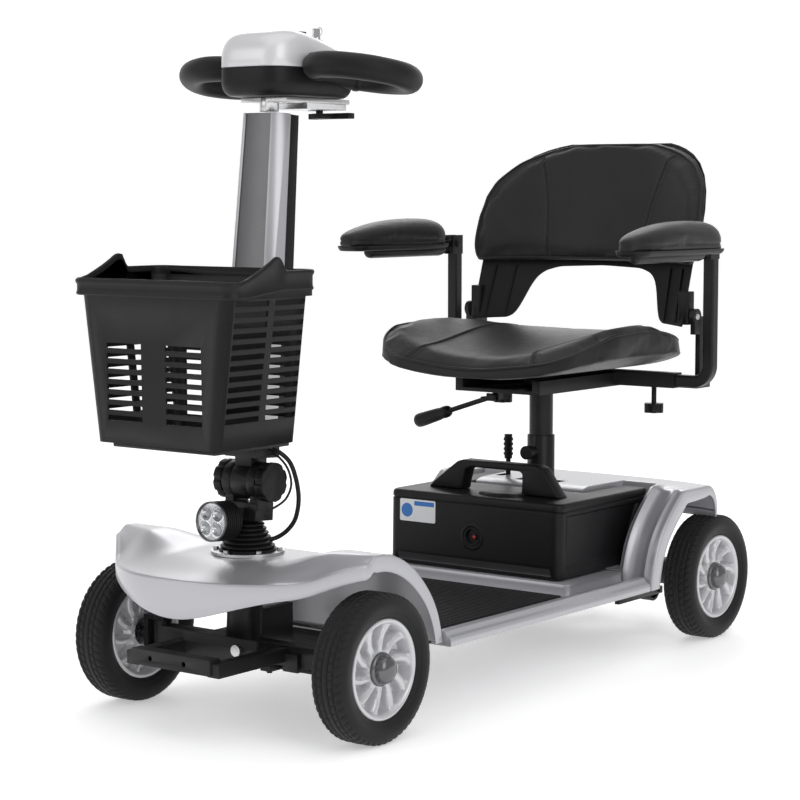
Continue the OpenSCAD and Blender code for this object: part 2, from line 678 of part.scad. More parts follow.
module tie_rod() color("#2a2a2c") placed() difference() {
  union() {
    translate([0, -axle_y + arm_y0, 65]) rod_x(8, 2 * kingpin_x);
    both_sides() translate([kingpin_x, -axle_y + arm_y0, 61]) cylinder(r = 9, h = 8);
    block([-9, 9], [eye_y - 9, -axle_y + arm_y0 + 3], [61, 69]);
  }
  translate([kingpin_x, -axle_y + arm_y0, 55]) cylinder(r = 4 + run_gap, h = 20);
  translate([-kingpin_x, -axle_y + arm_y0, 55]) cylinder(r = 4.6, h = 20);
  translate([0, eye_y, 55]) cylinder(r = 6, h = 20);
}

hinge_r = 26;
module steering_stem() color("#1c1c1e") placed() on_stem() {
  difference() {
    union() {
      translate([0, 0, pitman_z]) cylinder(r = stem_r, h = 60 - pitman_z);
      translate([0, -2, 46]) translate([-28, -16, 0]) cube([56, 36, 24]);
      for (s = [-1, 1]) translate([s * 22, 0, pivot_rise]) rod_x(2 * hinge_r, 14);
      for (s = [-1, 1]) translate([s * 22 - 7, -16, 60]) cube([14, 32, pivot_rise - 60]);
      // stay of the headlamp
      block([-6, 6], [-42.6, -10], [50, 62]);
      // drop arm that moves the tie rod
      translate([-9, 0, pitman_z]) cube([18, arm_y0 + 9, 7]);
      translate([0, arm_y0, pitman_z - 14]) cylinder(r = 4, h = 16);
    }
    translate([0, 0, pivot_rise]) rod_x(2 * (6 + run_gap), 120);
    translate([0, 0, pivot_rise]) rod_x(2 * (hinge_r + 0.8), 2 * 15);
  }
}

lamp_z = 46;
lamp_front = -77;
module headlamp_body() color("#161617") placed() on_stem() translate([0, lamp_front, lamp_z]) difference() {
  union() {
    translate([0, 17, 0]) rod_y(50, 34);
    for (y = [2:5:32]) translate([0, y, 0]) rod_y(54, 3);
    block([-8, 8], [24, 34], [0, 16]);
  }
  translate([0, 3, 0]) rod_y(48, 16);
}

module headlamp_reflector() color("#d4d4d6") placed() on_stem() translate([0, lamp_front, lamp_z])
  difference() {
  translate([0, 6.5, 0]) rod_y(47.6, 7);
  for (x = [-10, 10], z = [-10, 10]) translate([x, 2, z]) rod_y(16, 12);
}

// Tiller -----------------------------------------------------------

column_low = pivot_rise + 50;
column_high = column_low + column_len;

module tiller_hinge() color("#1c1c1e") placed() on_stem() difference() {
  union() {
    translate([0, 0, pivot_rise]) rod_x(2 * hinge_r - 1, 29.2);
    block([-14.6, 14.6], [-16, 16], [pivot_rise, column_low]);
    block([-28, 28], [-22, 26], [pivot_rise + 32, column_low - 0.3]);
  }
  translate([0, 0, pivot_rise]) rod_x(2 * (6 + run_gap), 120);
}

// Section of the column by height: front half width, front, rear half width, trim's rear edge
function col(s) = [mix(32, 24, s), mix(-26, -11, s), mix(41, 38, s), mix(1, 6, s)];
function core_side(c, grow) =
  [[c[0] + grow, c[1] - grow], [c[2] - 6 + grow, c[3]], [c[2] - 6 + grow, 34]];
module col_core(s, z, grow) translate([0, 0, z]) linear_extrude(0.4) let (side = core_side(col(s), grow))
  polygon(concat(side, [for (k = [2:-1:0]) [-side[k][0], side[k][1]]]));
module core(grow, over) hull() {
  col_core(0, column_low - over, grow);
  col_core(1, column_high + over, grow);
}
module col_trim(s, z) translate([0, 0, z]) linear_extrude(0.4) let (c = col(s))
  polygon([[c[0] - 4, c[1] + 4], [c[0] - 1, c[1] - 2.5], [c[0] + 4, c[1]], [c[2], c[3] - 3],
    [c[2], c[3] + 4], [c[2] - 9, c[3] + 4]]);

module tiller_column() color("#3c3d40") placed() on_stem() core(0, 0);

module column_trim() color("#c9c9cd") placed() on_stem() difference() {
  both_sides() hull() {
    col_trim(0, column_low);
    col_trim(1, column_high);
  }
  core(0.3, 1);
}

// The tiller head is drawn level, in the wheelbase frame
head_y = -392;
lever_y = -285;
module head_bracket() color("#b7b7ba") placed() union() {
  translate([0, head_y, 826.6]) cylinder(r = 13, h = 18);
  block([-40, 40], [-404, -268], [839, 845.5]);
  difference() {
    block([-34, 34], [-352, -268], [831, 841]);
    translate([0, lever_y, 820]) cylinder(r = 5 + run_gap, h = 17);
  }
}

module head_lower_shell() color("#1a1a1b") placed() translate([0, -352, 0]) difference() {
  union() {
    translate([0, 0, 851]) slab(124, 184, 32.9, 14);
    translate([0, 0, 846]) slab(112, 172, 6, 12);
  }
  translate([0, 0, 852]) slab(104, 164, 50, 10);
}

module head_upper_shell() color("#cfcfd3") placed() difference() {
  hull() {
    for (sx = [-1, 1]) translate([sx * 50, -432, 894]) sphere(12, $fn = hull_fn);
    for (sx = [-1, 1]) translate([sx * 50, -272, 892]) sphere(12, $fn = hull_fn);
    for (sx = [-1, 1]) translate([sx * 38, -412, 923]) sphere(12, $fn = hull_fn);
    for (sx = [-1, 1]) translate([sx * 38, -350, 920]) sphere(12, $fn = hull_fn);
  }
  block([-80, 80], [-460, -240], [870, 884.3]);
  block([-48, 48], [-422, -278], [880, 902]);
  translate([30, -328, 900]) cylinder(r = 6 + run_gap, h = 30);
  translate([0, -330, 900]) cylinder(r = 6 + run_gap, h = 30);
  translate([-30, -328, 900]) cylinder(r = 6 + run_gap, h = 30);
}

grip_r = 17.5;
function loop_point(a) =
  let (c = cos(a), s = sin(a))
  [115 + 62 * c, -330 + 66 * s * (1 - 0.12 * c), 877 - 9 * s - 4 * c];
module handlebar() color("#1b1b1c") placed() both_sides() difference() {
  tube_along([for (k = [0:31]) loop_point(360 * k / 32)], grip_r, 16, true);
  block([0, 62.6], [-460, -240], [820, 930]);
}

module throttle_lever() color("#141415") placed() union() {
  translate([0, lever_y, 822]) cylinder(r = 5, h = 14);
  block([-36, 36], [-266, -252], [820, 828]);
  block([-8, 8], [lever_y - 8, -254], [820, 827]);
}

module key() color("#c0c0c2") placed() translate([30, -328, 0]) {
  translate([0, 0, 903]) cylinder(r = 6, h = 25);
  block([-1.2, 1.2], [-7, 7], [927.6, 940]);
}

module speed_dial() color("#171718") placed() translate([0, -330, 0]) {
  translate([0, 0, 903]) cylinder(r = 6, h = 27);
  translate([0, 0, 929.6]) cylinder(r = 11, h = 7);
}

module horn_button() color("#7d2a24") placed() translate([-30, -328, 0]) {
  translate([0, 0, 904]) cylinder(r = 6, h = 24);
}

// Loom from the tiller to the chassis, held at both ends
loom_path = [[32, -424, 370], [43, -419, 366], [52, -410, 352], [57, -404, 330], [58, -400, 305],
  [56, -399, 288], [52, -402, 272], [47, -407, 259], [41, -412, 252], [35, -418, 249]];
module tiller_cable() color("#111112") placed() tube_along(loom_path, 3.4, 10, false, [1, 0, 0]);

module fold_knobs() color("#141415") placed() on_stem() translate([0, 0, pivot_rise]) {
  rod_x(12, 86);
  both_sides() translate([37, 0, 0]) difference() {
    rod_x(54, 13);
    for (a = [0:45:315]) rotate([a, 0, 0]) translate([0, 0, 31]) rod_x(12, 30);
  }
}

// Basket -----------------------------------------------------------

basket_low = 392;
basket_top = basket_low + basket_h;
lip_front = basket_front - lip_reach;
lip_back = basket_back + 4;
basket_t = 3;
foot_w = 214;

rim_rise = 12;
// Side view of the wall above the rim: it climbs to a hump and is level behind it
rim_hump = [[lip_front + 20, basket_top - 20], [lip_front + 20, basket_top - 1],
  [lip_front + 45, basket_top + 9], [lip_front + 72, basket_top + 22], [lip_front + 84, basket_top + 29],
  [lip_front + 92, basket_top + 29], [lip_front + 100, basket_top + rim_rise],
  [lip_back - 18, basket_top + rim_rise], [lip_back - 18, basket_top - 20]];

module basket_body(inset, lift) hull() {
  translate([0, mix(basket_front, basket_back, 0.5), basket_low + lift])
    slab(foot_w - 2 * inset, basket_back - basket_front - 2 * inset, 0.1, 14 - inset);
  translate([0, mix(basket_front, basket_back, 0.5) - 2, basket_top + lift])
    slab(basket_w - 12 - 2 * inset, basket_back - basket_front + 4 - 2 * inset, 0.1, 16 - inset);
}

module basket() color("#1e1e20") placed() difference() {
  union() {
    basket_body(0, 0);
    translate([0, mix(lip_front, lip_back, 0.5), basket_top - 22])
      slab(basket_w, lip_back - lip_front, 22, 18);
    block([16 - basket_w / 2, basket_w / 2 - 16], [lip_back - basket_t, lip_back],
      [basket_top - 20, basket_top + rim_rise]);
    both_sides() translate([basket_w / 2 - basket_t, 0, 0]) rotate([90, 0, 90])
      linear_extrude(basket_t) polygon(rim_hump);
  }
  basket_body(basket_t, basket_t);
  translate([0, mix(lip_front, lip_back, 0.5) - 1.5, basket_top - 16])
    slab(basket_w - 2 * basket_t, lip_back - lip_front - 2 * basket_t - 3, 60, 15);
  for (s = [-1, 1], k = [0:7])
    block([s * 52 - 31, s * 52 + 31], [basket_front - 30, basket_front + 30],
      [basket_low + 30 + k * 13.5, basket_low + 37 + k * 13.5]);
  for (y = [-578, -502], k = [0:11])
    block([-150, 150], [y - 32, y + 32], [basket_low + 34 + k * 13.5, basket_low + 41 + k * 13.5]);
  for (s = [-1, 1], k = [0:7])
    block([s * 70 - 18, s * 70 + 18], [basket_back - 10, basket_back + 10],
      [basket_low + 25 + k * 13.5, basket_low + 32 + k * 13.5]);
}

module basket_bracket() color("#161617") placed() union() {
  block([-90, 90], [-606, -459.4], [basket_low - 7, basket_low - 0.5]);
  block([-22, 22], [basket_back + 1.6, -443.5], [530, 570]);
}

// ---------------------------------------------------------------- nodes

frame();
front_cover();
floor_pan();
floor_mat();
rear_cover();
drive_unit();
controller();
seat_tube();
stem_boot();
stem_flange();
fasteners();
bearings();
battery_case();
battery_handle();
battery_cells();
charge_socket();
steering_stem();
headlamp_body();
headlamp_reflector();
tiller_hinge();
tiller_column();
column_trim();
head_bracket();
head_lower_shell();
head_upper_shell();
handlebar();
tiller_cable();
basket_bracket();
throttle_lever();
key();
speed_dial();
horn_button();
fold_knobs();
basket();
color("#1c1c1d") wheel_at(1, -1) tyre();  // front_left_tyre
color("#c6c7ca") wheel_at(1, -1) rim(false);  // front_left_rim
color("#1c1c1d") wheel_at(-1, -1) tyre();  // front_right_tyre
color("#c6c7ca") wheel_at(-1, -1) rim(false);  // front_right_rim
color("#1c1c1d") wheel_at(1, 1) tyre();  // rear_left_tyre
color("#c6c7ca") wheel_at(1, 1) rim(true);  // rear_left_rim
color("#1c1c1d") wheel_at(-1, 1) tyre();  // rear_right_tyre
color("#c6c7ca") wheel_at(-1, 1) rim(true);  // rear_right_rim
color("#2a2a2c") placed() steering_knuckle();  // steering_knuckle_left
color("#2a2a2c") placed() mirror([1, 0, 0]) steering_knuckle();  // steering_knuckle_right
tie_rod();
seat_post();
height_pin();
seat_frame();
swivel_lever();
seat_cushion();
backrest_frame();
backrest_cushion();
color("#202022") placed() arm();  // arm_left
color("#202022") placed() mirror([1, 0, 0]) arm();  // arm_right
color("#1a1a1b") placed() arm_pad();  // arm_pad_left
color("#1a1a1b") placed() mirror([1, 0, 0]) arm_pad();  // arm_pad_right
color("#161617") placed() arm_knob();  // arm_knob_left
color("#161617") placed() mirror([1, 0, 0]) arm_knob();  // arm_knob_right
freewheel_lever();
anti_tip_rollers();
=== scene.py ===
"""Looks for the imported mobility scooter. Metres, row frame: +Z up, the rider faces -Y."""

import json
import math

import bmesh
import bpy
from mathutils import Matrix, Vector
from mathutils.bvhtree import BVHTree
from mathutils.kdtree import KDTree


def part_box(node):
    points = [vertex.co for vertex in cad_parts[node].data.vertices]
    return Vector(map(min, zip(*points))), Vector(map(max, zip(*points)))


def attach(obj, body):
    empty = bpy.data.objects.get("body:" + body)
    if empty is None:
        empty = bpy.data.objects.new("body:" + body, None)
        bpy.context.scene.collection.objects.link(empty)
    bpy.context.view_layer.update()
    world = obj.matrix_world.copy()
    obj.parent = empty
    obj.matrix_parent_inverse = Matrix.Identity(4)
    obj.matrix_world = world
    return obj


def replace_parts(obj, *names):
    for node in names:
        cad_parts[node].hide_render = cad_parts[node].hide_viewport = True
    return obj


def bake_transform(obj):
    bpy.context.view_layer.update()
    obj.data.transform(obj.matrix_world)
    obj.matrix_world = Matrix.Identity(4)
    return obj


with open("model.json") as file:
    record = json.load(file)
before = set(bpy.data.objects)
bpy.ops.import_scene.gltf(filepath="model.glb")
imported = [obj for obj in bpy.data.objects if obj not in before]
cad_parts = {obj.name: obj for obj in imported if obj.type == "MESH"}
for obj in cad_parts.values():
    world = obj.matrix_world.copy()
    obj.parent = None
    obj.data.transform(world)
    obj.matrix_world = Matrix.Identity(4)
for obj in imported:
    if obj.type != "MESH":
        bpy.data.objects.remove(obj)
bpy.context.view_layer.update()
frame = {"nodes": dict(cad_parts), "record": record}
NODES = frame["nodes"]
BODY_OF = {n: b for b, ns in frame["record"]["behaviour"]["bodies"].items() for n in ns}
SLOT_OF = {s["node"]: s["material_slot"] for s in frame["record"]["subparts"]}


def middle(node):
    lo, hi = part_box(node)
    return (lo + hi) / 2


# Dimensions below are millimetres from the middle of the wheelbase, as in the CAD source
MID_Y = (middle("front_left_tyre").y + middle("rear_left_tyre").y) / 2


def at(x, y, z):
    return Vector((x / 1000, y / 1000 + MID_Y, z / 1000))


# ------------------------------------------------------------------ camera and light
CAMERA_LENS = 99.35
CAMERA_PLACE = (1961.0, -2676.3, 718.5)
CAMERA_DOWN, CAMERA_TURN = 5.38, 37.28
WORLD_STRENGTH = 0.46

cam_data = bpy.data.cameras.new("camera")
cam_data.sensor_width = 36
cam_data.lens = CAMERA_LENS
cam = bpy.data.objects.new("camera", cam_data)
cam.location = at(*CAMERA_PLACE)
cam.rotation_euler = (math.radians(90 - CAMERA_DOWN), 0, math.radians(CAMERA_TURN))
bpy.context.scene.collection.objects.link(cam)
bpy.context.scene.camera = cam

world = bpy.data.worlds.new("studio")
bpy.context.scene.world = world
world.use_nodes = True
world.node_tree.nodes["Background"].inputs[0].default_value = (1, 1, 1, 1)
world.node_tree.nodes["Background"].inputs[1].default_value = WORLD_STRENGTH
bpy.context.scene.view_settings.view_transform = "Standard"


def area_light(name, size, energy, place, aim):
    data = bpy.data.lights.new(name, "AREA")
    data.shape = "RECTANGLE"
    data.size, data.size_y = size
    data.energy = energy
    ob = bpy.data.objects.new(name, data)
    ob.location = place
    ob.rotation_euler = (Vector(aim) - Vector(place)).to_track_quat("-Z", "Y").to_euler()
    bpy.context.scene.collection.objects.link(ob)


area_light("top_light", (3.0, 3.0), 20, (0.2, -0.2, 3.0), (0, 0, 0.3))
area_light("key_light", (2.0, 2.6), 30, (2.8, -1.2, 2.0), (0, 0, 0.5))
area_light("front_light", (2.4, 1.8), 18, (-1.4, -3.0, 1.8), (0, 0, 0.4))
area_light("back_light", (2.0, 1.2), 18, (-1.6, 2.4, 2.0), (0, 0, 0.6))


# ------------------------------------------------------------------ materials
def shader(name, colour, rough, metallic=0.0, coat=0.0, sheen=0.0, specular=0.26, ior=1.45,
           mottle=(30.0, 0.08), rough_var=0.06, grains=(), edge=0.0):
    """A procedural material. grains are (kind, scale, strength, distance in metres)."""
    m = bpy.data.materials.new(name)
    m.use_nodes = True
    nt = m.node_tree
    nodes, links = nt.nodes, nt.links
    bsdf = nodes["Principled BSDF"]
    bsdf.inputs["Metallic"].default_value = metallic
    bsdf.inputs["Coat Weight"].default_value = coat
    bsdf.inputs["Coat Roughness"].default_value = 0.22
    bsdf.inputs["Sheen Weight"].default_value = sheen
    bsdf.inputs["Specular IOR Level"].default_value = specular
    bsdf.inputs["IOR"].default_value = ior
    coord = nodes.new("ShaderNodeTexCoord").outputs["Object"]

    def noise_tex(scale, detail=3.0):
        n = nodes.new("ShaderNodeTexNoise")
        n.inputs["Scale"].default_value = scale
        n.inputs["Detail"].default_value = detail
        links.new(coord, n.inputs["Vector"])
        return n.outputs["Fac"]

    scale, amount = mottle
    ramp = nodes.new("ShaderNodeMix")
    ramp.data_type = "RGBA"
    ramp.inputs[6].default_value = [c * (1 - amount) for c in colour] + [1]
    ramp.inputs[7].default_value = [min(1, c * (1 + amount)) for c in colour] + [1]
    links.new(noise_tex(scale, 5), ramp.inputs[0])
    links.new(ramp.outputs[2], bsdf.inputs["Base Color"])

    spread = nodes.new("ShaderNodeMapRange")
    spread.inputs["To Min"].default_value = max(0.02, rough - rough_var)
    spread.inputs["To Max"].default_value = min(1, rough + rough_var)
    links.new(noise_tex(scale * 2.3 + 5, 4), spread.inputs["Value"])
    links.new(spread.outputs["Result"], bsdf.inputs["Roughness"])

    normal = None
    if edge:
        bevel = nodes.new("ShaderNodeBevel")
        bevel.samples = 4
        bevel.inputs["Radius"].default_value = edge
        normal = bevel.outputs["Normal"]
    for kind, scale, strength, distance in grains:
        if kind == "cells":
            t = nodes.new("ShaderNodeTexVoronoi")
            t.feature = "DISTANCE_TO_EDGE"
            t.inputs["Scale"].default_value = scale
            links.new(coord, t.inputs["Vector"])
            lim = nodes.new("ShaderNodeMapRange")
            lim.inputs["From Max"].default_value = 0.22
            links.new(t.outputs["Distance"], lim.inputs["Value"])
            height = lim.outputs["Result"]
        elif kind == "brushed":
            squeeze = nodes.new("ShaderNodeMapping")
            squeeze.inputs["Scale"].default_value = (1, 1, 0.04)
            links.new(coord, squeeze.inputs["Vector"])
            t = nodes.new("ShaderNodeTexNoise")
            t.inputs["Scale"].default_value = scale
            links.new(squeeze.outputs["Vector"], t.inputs["Vector"])
            height = t.outputs["Fac"]
        else:
            height = noise_tex(scale, 3)
        bump = nodes.new("ShaderNodeBump")
        bump.inputs["Strength"].default_value = strength
        bump.inputs["Distance"].default_value = distance
        links.new(height, bump.inputs["Height"])
        if normal is not None:
            links.new(normal, bump.inputs["Normal"])
        normal = bump.outputs["Normal"]
    if normal is not None:
        links.new(normal, bsdf.inputs["Normal"])
    return m


EDGE = 0.0012
M = {
    "silver": shader("silver_paint", (0.48, 0.48, 0.505), 0.32, metallic=0.45, coat=0.3,
                     mottle=(900, 0.05), grains=[("noise", 900, 0.05, 0.0002)], edge=0.0015),
    "head": shader("head_paint", (0.66, 0.66, 0.68), 0.34, metallic=0.25, coat=0.3,
                   mottle=(900, 0.05), grains=[("noise", 900, 0.05, 0.0002)], edge=0.0015),
    "frame": shader("black_powder_coat", (0.010, 0.010, 0.011), 0.42, coat=0.15,
                    mottle=(40, 0.3), grains=[("noise", 1400, 0.25, 0.0003)], edge=EDGE),
    "mat": shader("mat_rubber", (0.030, 0.030, 0.032), 0.66, mottle=(60, 0.3),
                  grains=[("noise", 700, 0.35, 0.0004)], edge=0.0008),
    "steel": shader("zinc_steel", (0.62, 0.62, 0.63), 0.28, metallic=1.0, mottle=(90, 0.12),
                    grains=[("brushed", 900, 0.15, 0.0003)], edge=0.0008),
    "bright": shader("satin_aluminium", (0.70, 0.70, 0.71), 0.24, metallic=0.9, mottle=(120, 0.06),
                     grains=[("brushed", 700, 0.12, 0.0003)], edge=EDGE),
    "drive": shader("drive_paint", (0.05, 0.05, 0.055), 0.45, mottle=(30, 0.3),
                    grains=[("noise", 500, 0.3, 0.0004)], edge=0.0015),
    "box": shader("box_plastic", (0.007, 0.007, 0.008), 0.40, mottle=(12, 0.35),
                  rough_var=0.05, grains=[("noise", 1500, 0.18, 0.00025)], edge=EDGE),
    "gloss": shader("gloss_strip", (0.16, 0.16, 0.165), 0.14, metallic=0.7, mottle=(20, 0.2),
                    grains=[("noise", 60, 0.03, 0.0005)]),
    "trim": shader("trim_plastic", (0.009, 0.009, 0.0095), 0.40, mottle=(25, 0.35),
                   grains=[("noise", 1300, 0.25, 0.0003)], edge=EDGE),
    "column": shader("column_plastic", (0.17, 0.17, 0.175), 0.30, metallic=0.7, mottle=(15, 0.15),
                     grains=[("noise", 1500, 0.3, 0.0003)], edge=0.0015),
    "foam": shader("grip_foam", (0.006, 0.006, 0.0063), 0.50, mottle=(80, 0.3), sheen=0.08,
                   grains=[("noise", 1100, 0.35, 0.0005), ("noise", 120, 0.08, 0.0008)]),
    "basket": shader("basket_plastic", (0.011, 0.011, 0.0118), 0.42, mottle=(20, 0.3),
                     grains=[("noise", 1400, 0.3, 0.0003)], edge=0.0012),
    "leather": shader("leatherette", (0.016, 0.016, 0.0172), 0.42, mottle=(26, 0.22), sheen=0.05,
                      rough_var=0.08,
                      grains=[("cells", 520, 0.20, 0.0005), ("noise", 95, 0.14, 0.0012),
                              ("noise", 1900, 0.15, 0.0002)]),
    "thread": shader("thread", (0.05, 0.05, 0.052), 0.6, mottle=(400, 0.3),
                     grains=[("noise", 3000, 0.5, 0.0002)]),
    "tyre": shader("tyre_rubber", (0.011, 0.011, 0.0115), 0.58, mottle=(35, 0.3), sheen=0.06,
                   grains=[("noise", 650, 0.3, 0.0004)]),
    "rim": shader("rim_paint", (0.62, 0.62, 0.64), 0.30, metallic=0.4, coat=0.35, mottle=(300, 0.05),
                  grains=[("noise", 900, 0.05, 0.0002)]),
    "cable": shader("cable_sheath", (0.012, 0.012, 0.012), 0.4, mottle=(50, 0.2),
                    grains=[("noise", 800, 0.15, 0.0003)]),
    "reflector": shader("reflector", (0.75, 0.75, 0.76), 0.16, metallic=0.95, mottle=(200, 0.1),
                        grains=[("noise", 500, 0.12, 0.0004)]),
    "horn": shader("horn_red", (0.4, 0.03, 0.02), 0.3, mottle=(60, 0.15)),
    "red": shader("red_plastic", (0.45, 0.03, 0.03), 0.3, mottle=(60, 0.15)),
    "label": shader("label_white", (0.80, 0.81, 0.83), 0.35, mottle=(40, 0.03)),
    "label_blue": shader("label_blue", (0.05, 0.20, 0.55), 0.35, mottle=(40, 0.05)),
    "cells": shader("cell_case", (0.06, 0.06, 0.065), 0.5, mottle=(40, 0.2)),
}


def glass(name, tint, rough):
    m = shader(name, tint, rough, mottle=(40, 0.02), rough_var=0.01)
    b = m.node_tree.nodes["Principled BSDF"]
    b.inputs["Transmission Weight"].default_value = 1.0
    b.inputs["IOR"].default_value = 1.46
    return m


M["lens"] = glass("lamp_lens", (0.95, 0.96, 0.97), 0.03)

NODE_MAT = {
    "cover_silver": "silver", "frame_black": "frame", "floor_silver": "silver", "mat_rubber": "mat",
    "steel": "steel", "drive_grey": "drive", "box_black": "box", "trim_black": "trim",
    "cell_grey": "cells", "column_grey": "column", "bright_metal": "bright",
    "reflector": "reflector", "foam_black": "foam", "basket_black": "basket",
    "seat_leather": "leather", "tyre_black": "tyre", "rim_silver": "rim", "horn_red": "horn",
    "cable_black": "cable"}
for node, ob in NODES.items():
    ob.data.materials.clear()
    ob.data.materials.append(M[NODE_MAT[SLOT_OF[node]]])


# ------------------------------------------------------------------ mesh helpers
def add(name, verts, faces, mat, body, slot, sharp=35, smooth=True):
    me = bpy.data.meshes.new(name)
    me.from_pydata([tuple(v) for v in verts], [], faces)
    return place(name, me, mat, body, slot, sharp, smooth)


def place(name, me, mat, body, slot, sharp=35, smooth=True):
    me.validate()
    bm = bmesh.new()
    bm.from_mesh(me)
    bmesh.ops.remove_doubles(bm, verts=bm.verts, dist=1e-6)
    bmesh.ops.recalc_face_normals(bm, faces=bm.faces)
    bm.to_mesh(me)
    bm.free()
    ob = bpy.data.objects.new(name, me)
    bpy.context.scene.collection.objects.link(ob)
    me.materials.clear()
    me.materials.append(M[mat])
    if smooth:
        me.shade_smooth()
        me.set_sharp_from_angle(angle=math.radians(sharp))
    if body:
        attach(ob, body)
    return ob


def settle(ob):
    """Applies the object's modifiers."""
    dg = bpy.context.evaluated_depsgraph_get()
    me = bpy.data.meshes.new_from_object(ob.evaluated_get(dg))
    ob.modifiers.clear()
    ob.data = me
    return ob


def modify(ob, kind, **values):
    mod = ob.modifiers.new(kind.lower(), kind)
    for k, v in values.items():
        setattr(mod, k, v)
    return mod


def bevelled(ob, width, segments=3, angle=30, sharp=35):
    modify(ob, "BEVEL", width=width, segments=segments, limit_method="ANGLE",
           angle_limit=math.radians(angle), use_clamp_overlap=True, miter_outer="MITER_ARC")
    settle(ob)
    ob.data.shade_smooth()
    ob.data.set_sharp_from_angle(angle=math.radians(sharp))
    return ob


def rounded(node, mat, width, segments=2, angle=30):
    """A copy of a CAD node with real rounded edges, which then stands for it."""
    bm = bmesh.new()
    bm.from_mesh(NODES[node].data)
    bmesh.ops.remove_doubles(bm, verts=bm.verts, dist=1e-5)
    bmesh.ops.dissolve_limit(bm, angle_limit=math.radians(1.0), verts=bm.verts, edges=bm.edges)
    me = bpy.data.meshes.new(node)
    bm.to_mesh(me)
    bm.free()
    ob = place(node + "_body", me, mat, BODY_OF[node], SLOT_OF[node])
    bevelled(ob, width, segments, angle)
    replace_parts(ob, node)
    return ob


def grid_faces(rows, cols, wrap_rows=False, wrap_cols=False):
    """Quads between rows of cols points, which may close on themselves either way."""
    faces = []
    for i in range(rows if wrap_rows else rows - 1):
        for k in range(cols if wrap_cols else cols - 1):
            j, l = (i + 1) % rows, (k + 1) % cols
            faces.append((i * cols + k, i * cols + l, j * cols + l, j * cols + k))
    return faces


def angles(n):
    return [2 * math.pi * k / n for k in range(n)]


def mm(pairs):
    return [(a / 1000, b / 1000) for a, b in pairs]


def rect(x0, x1, y0, y1):
    return [(x0, y0), (x1, y0), (x1, y1), (x0, y1)]


def hand(side):
    return "left" if side > 0 else "right"


def face_middle(verts, face):
    return sum((verts[i] for i in face), Vector()) / len(face)


def underside(top, thick):
    """A grid's copy, moved inwards along its normals."""
    last_i, last_j = len(top) - 1, len(top[0]) - 1
    under = []
    for i, row in enumerate(top):
        line = []
        for j, p in enumerate(row):
            a = top[min(i + 1, last_i)][j] - top[max(i - 1, 0)][j]
            b = row[min(j + 1, last_j)] - row[max(j - 1, 0)]
            line.append(p - a.cross(b).normalized() * thick)
        under.append(line)
    return under


def shell(top, low):
    """Vertices and faces of a closed solid between two grids."""
    nu, nv = len(top), len(top[0])
    verts = [p for row in top for p in row] + [p for row in low for p in row]
    n = nu * nv
    faces = []
    for i in range(nu - 1):
        for j in range(nv - 1):
            a, b, c, d = i * nv + j, i * nv + j + 1, (i + 1) * nv + j + 1, (i + 1) * nv + j
            faces.append((a, b, c, d))
            faces.append((n + a, n + d, n + c, n + b))
    ring = [(0, j) for j in range(nv - 1)] + [(i, nv - 1) for i in range(nu - 1)]
    ring += [(nu - 1, j) for j in range(nv - 1, 0, -1)] + [(i, 0) for i in range(nu - 1, 0, -1)]
    for k, (i, j) in enumerate(ring):
        i2, j2 = ring[(k + 1) % len(ring)]
        a, b = i * nv + j, i2 * nv + j2
        faces.append((a, b, n + b, n + a))
    return verts, faces


def sweep(path, section, closed=False, up=Vector((0, 0, 1)), caps=True):
    """Sweeps a section, a list of (side, up) offsets in metres, along a path."""
    n, m = len(path), len(section)
    verts = []
    for i in range(n):
        if closed:
            t = path[(i + 1) % n] - path[i - 1]
        else:
            t = path[min(i + 1, n - 1)] - path[max(i - 1, 0)]
        t.normalize()
        u = t.cross(up)
        if u.length < 1e-6:
            u = Vector((1, 0, 0))
        u.normalize()
        v = u.cross(t)
        verts += [path[i] + u * a + v * b for a, b in section]
    faces = grid_faces(n, m, closed, True)
    if caps and not closed:
        faces.append(tuple(range(m)))
        faces.append(tuple((n - 1) * m + k for k in reversed(range(m))))
    return verts, faces


def circle(r, n=16):
    return [(r * math.cos(a), r * math.sin(a)) for a in angles(n)]


def spline(points, steps):
    """Catmull-Rom points through the given ones."""
    p = [2 * points[0] - points[1]] + list(points) + [2 * points[-1] - points[-2]]
    out = []
    for i in range(1, len(p) - 2):
        for s in range(steps):
            t = s / steps
            out.append(0.5 * ((2 * p[i]) + (p[i + 1] - p[i - 1]) * t
                       + (2 * p[i - 1] - 5 * p[i] + 4 * p[i + 1] - p[i + 2]) * t * t
                       + (3 * p[i] - p[i - 1] - 3 * p[i + 1] + p[i + 2]) * t ** 3))
    out.append(p[-2])
    return out


def lathe(profile, n, centre, axis="x"):
    """Turns (radius, height) pairs in metres about an axis through centre."""
    verts = []
    for a in angles(n):
        c, s = math.cos(a), math.sin(a)
        for r, h in profile:
            off = {"x": (h, r * c, r * s), "y": (r * c, h, r * s), "z": (r * c, r * s, h)}[axis]
            verts.append(centre + Vector(off))
    return verts, grid_faces(n, len(profile), True)


def clamp01(t):
    return min(1.0, max(0.0, t))


def smooth01(t):
    t = clamp01(t)
    return t * t * (3 - 2 * t)


def mix(a, b, t):
    return a + (b - a) * t


def along(knots, x):
    if x <= knots[0][0]:
        return knots[0][1]
    for (x0, y0), (x1, y1) in zip(knots, knots[1:]):
        if x <= x1:
            return mix(y0, y1, (x - x0) / (x1 - x0))
    return knots[-1][1]


def gauss(x, w):
    return math.exp(-(x / w) ** 2)


# ------------------------------------------------------------------ wheels
TYRE_HALF = [(0, 100.0), (16, 100.0), (19.5, 99.2), (22.2, 97.4), (24.6, 94.2), (26.2, 90.4),
             (27, 85.4), (26.3, 80.2), (24.9, 76.2), (24.2, 75.8), (23.4, 73.2), (21.6, 70.2),
             (20.2, 68.2), (19.5, 66.8)]


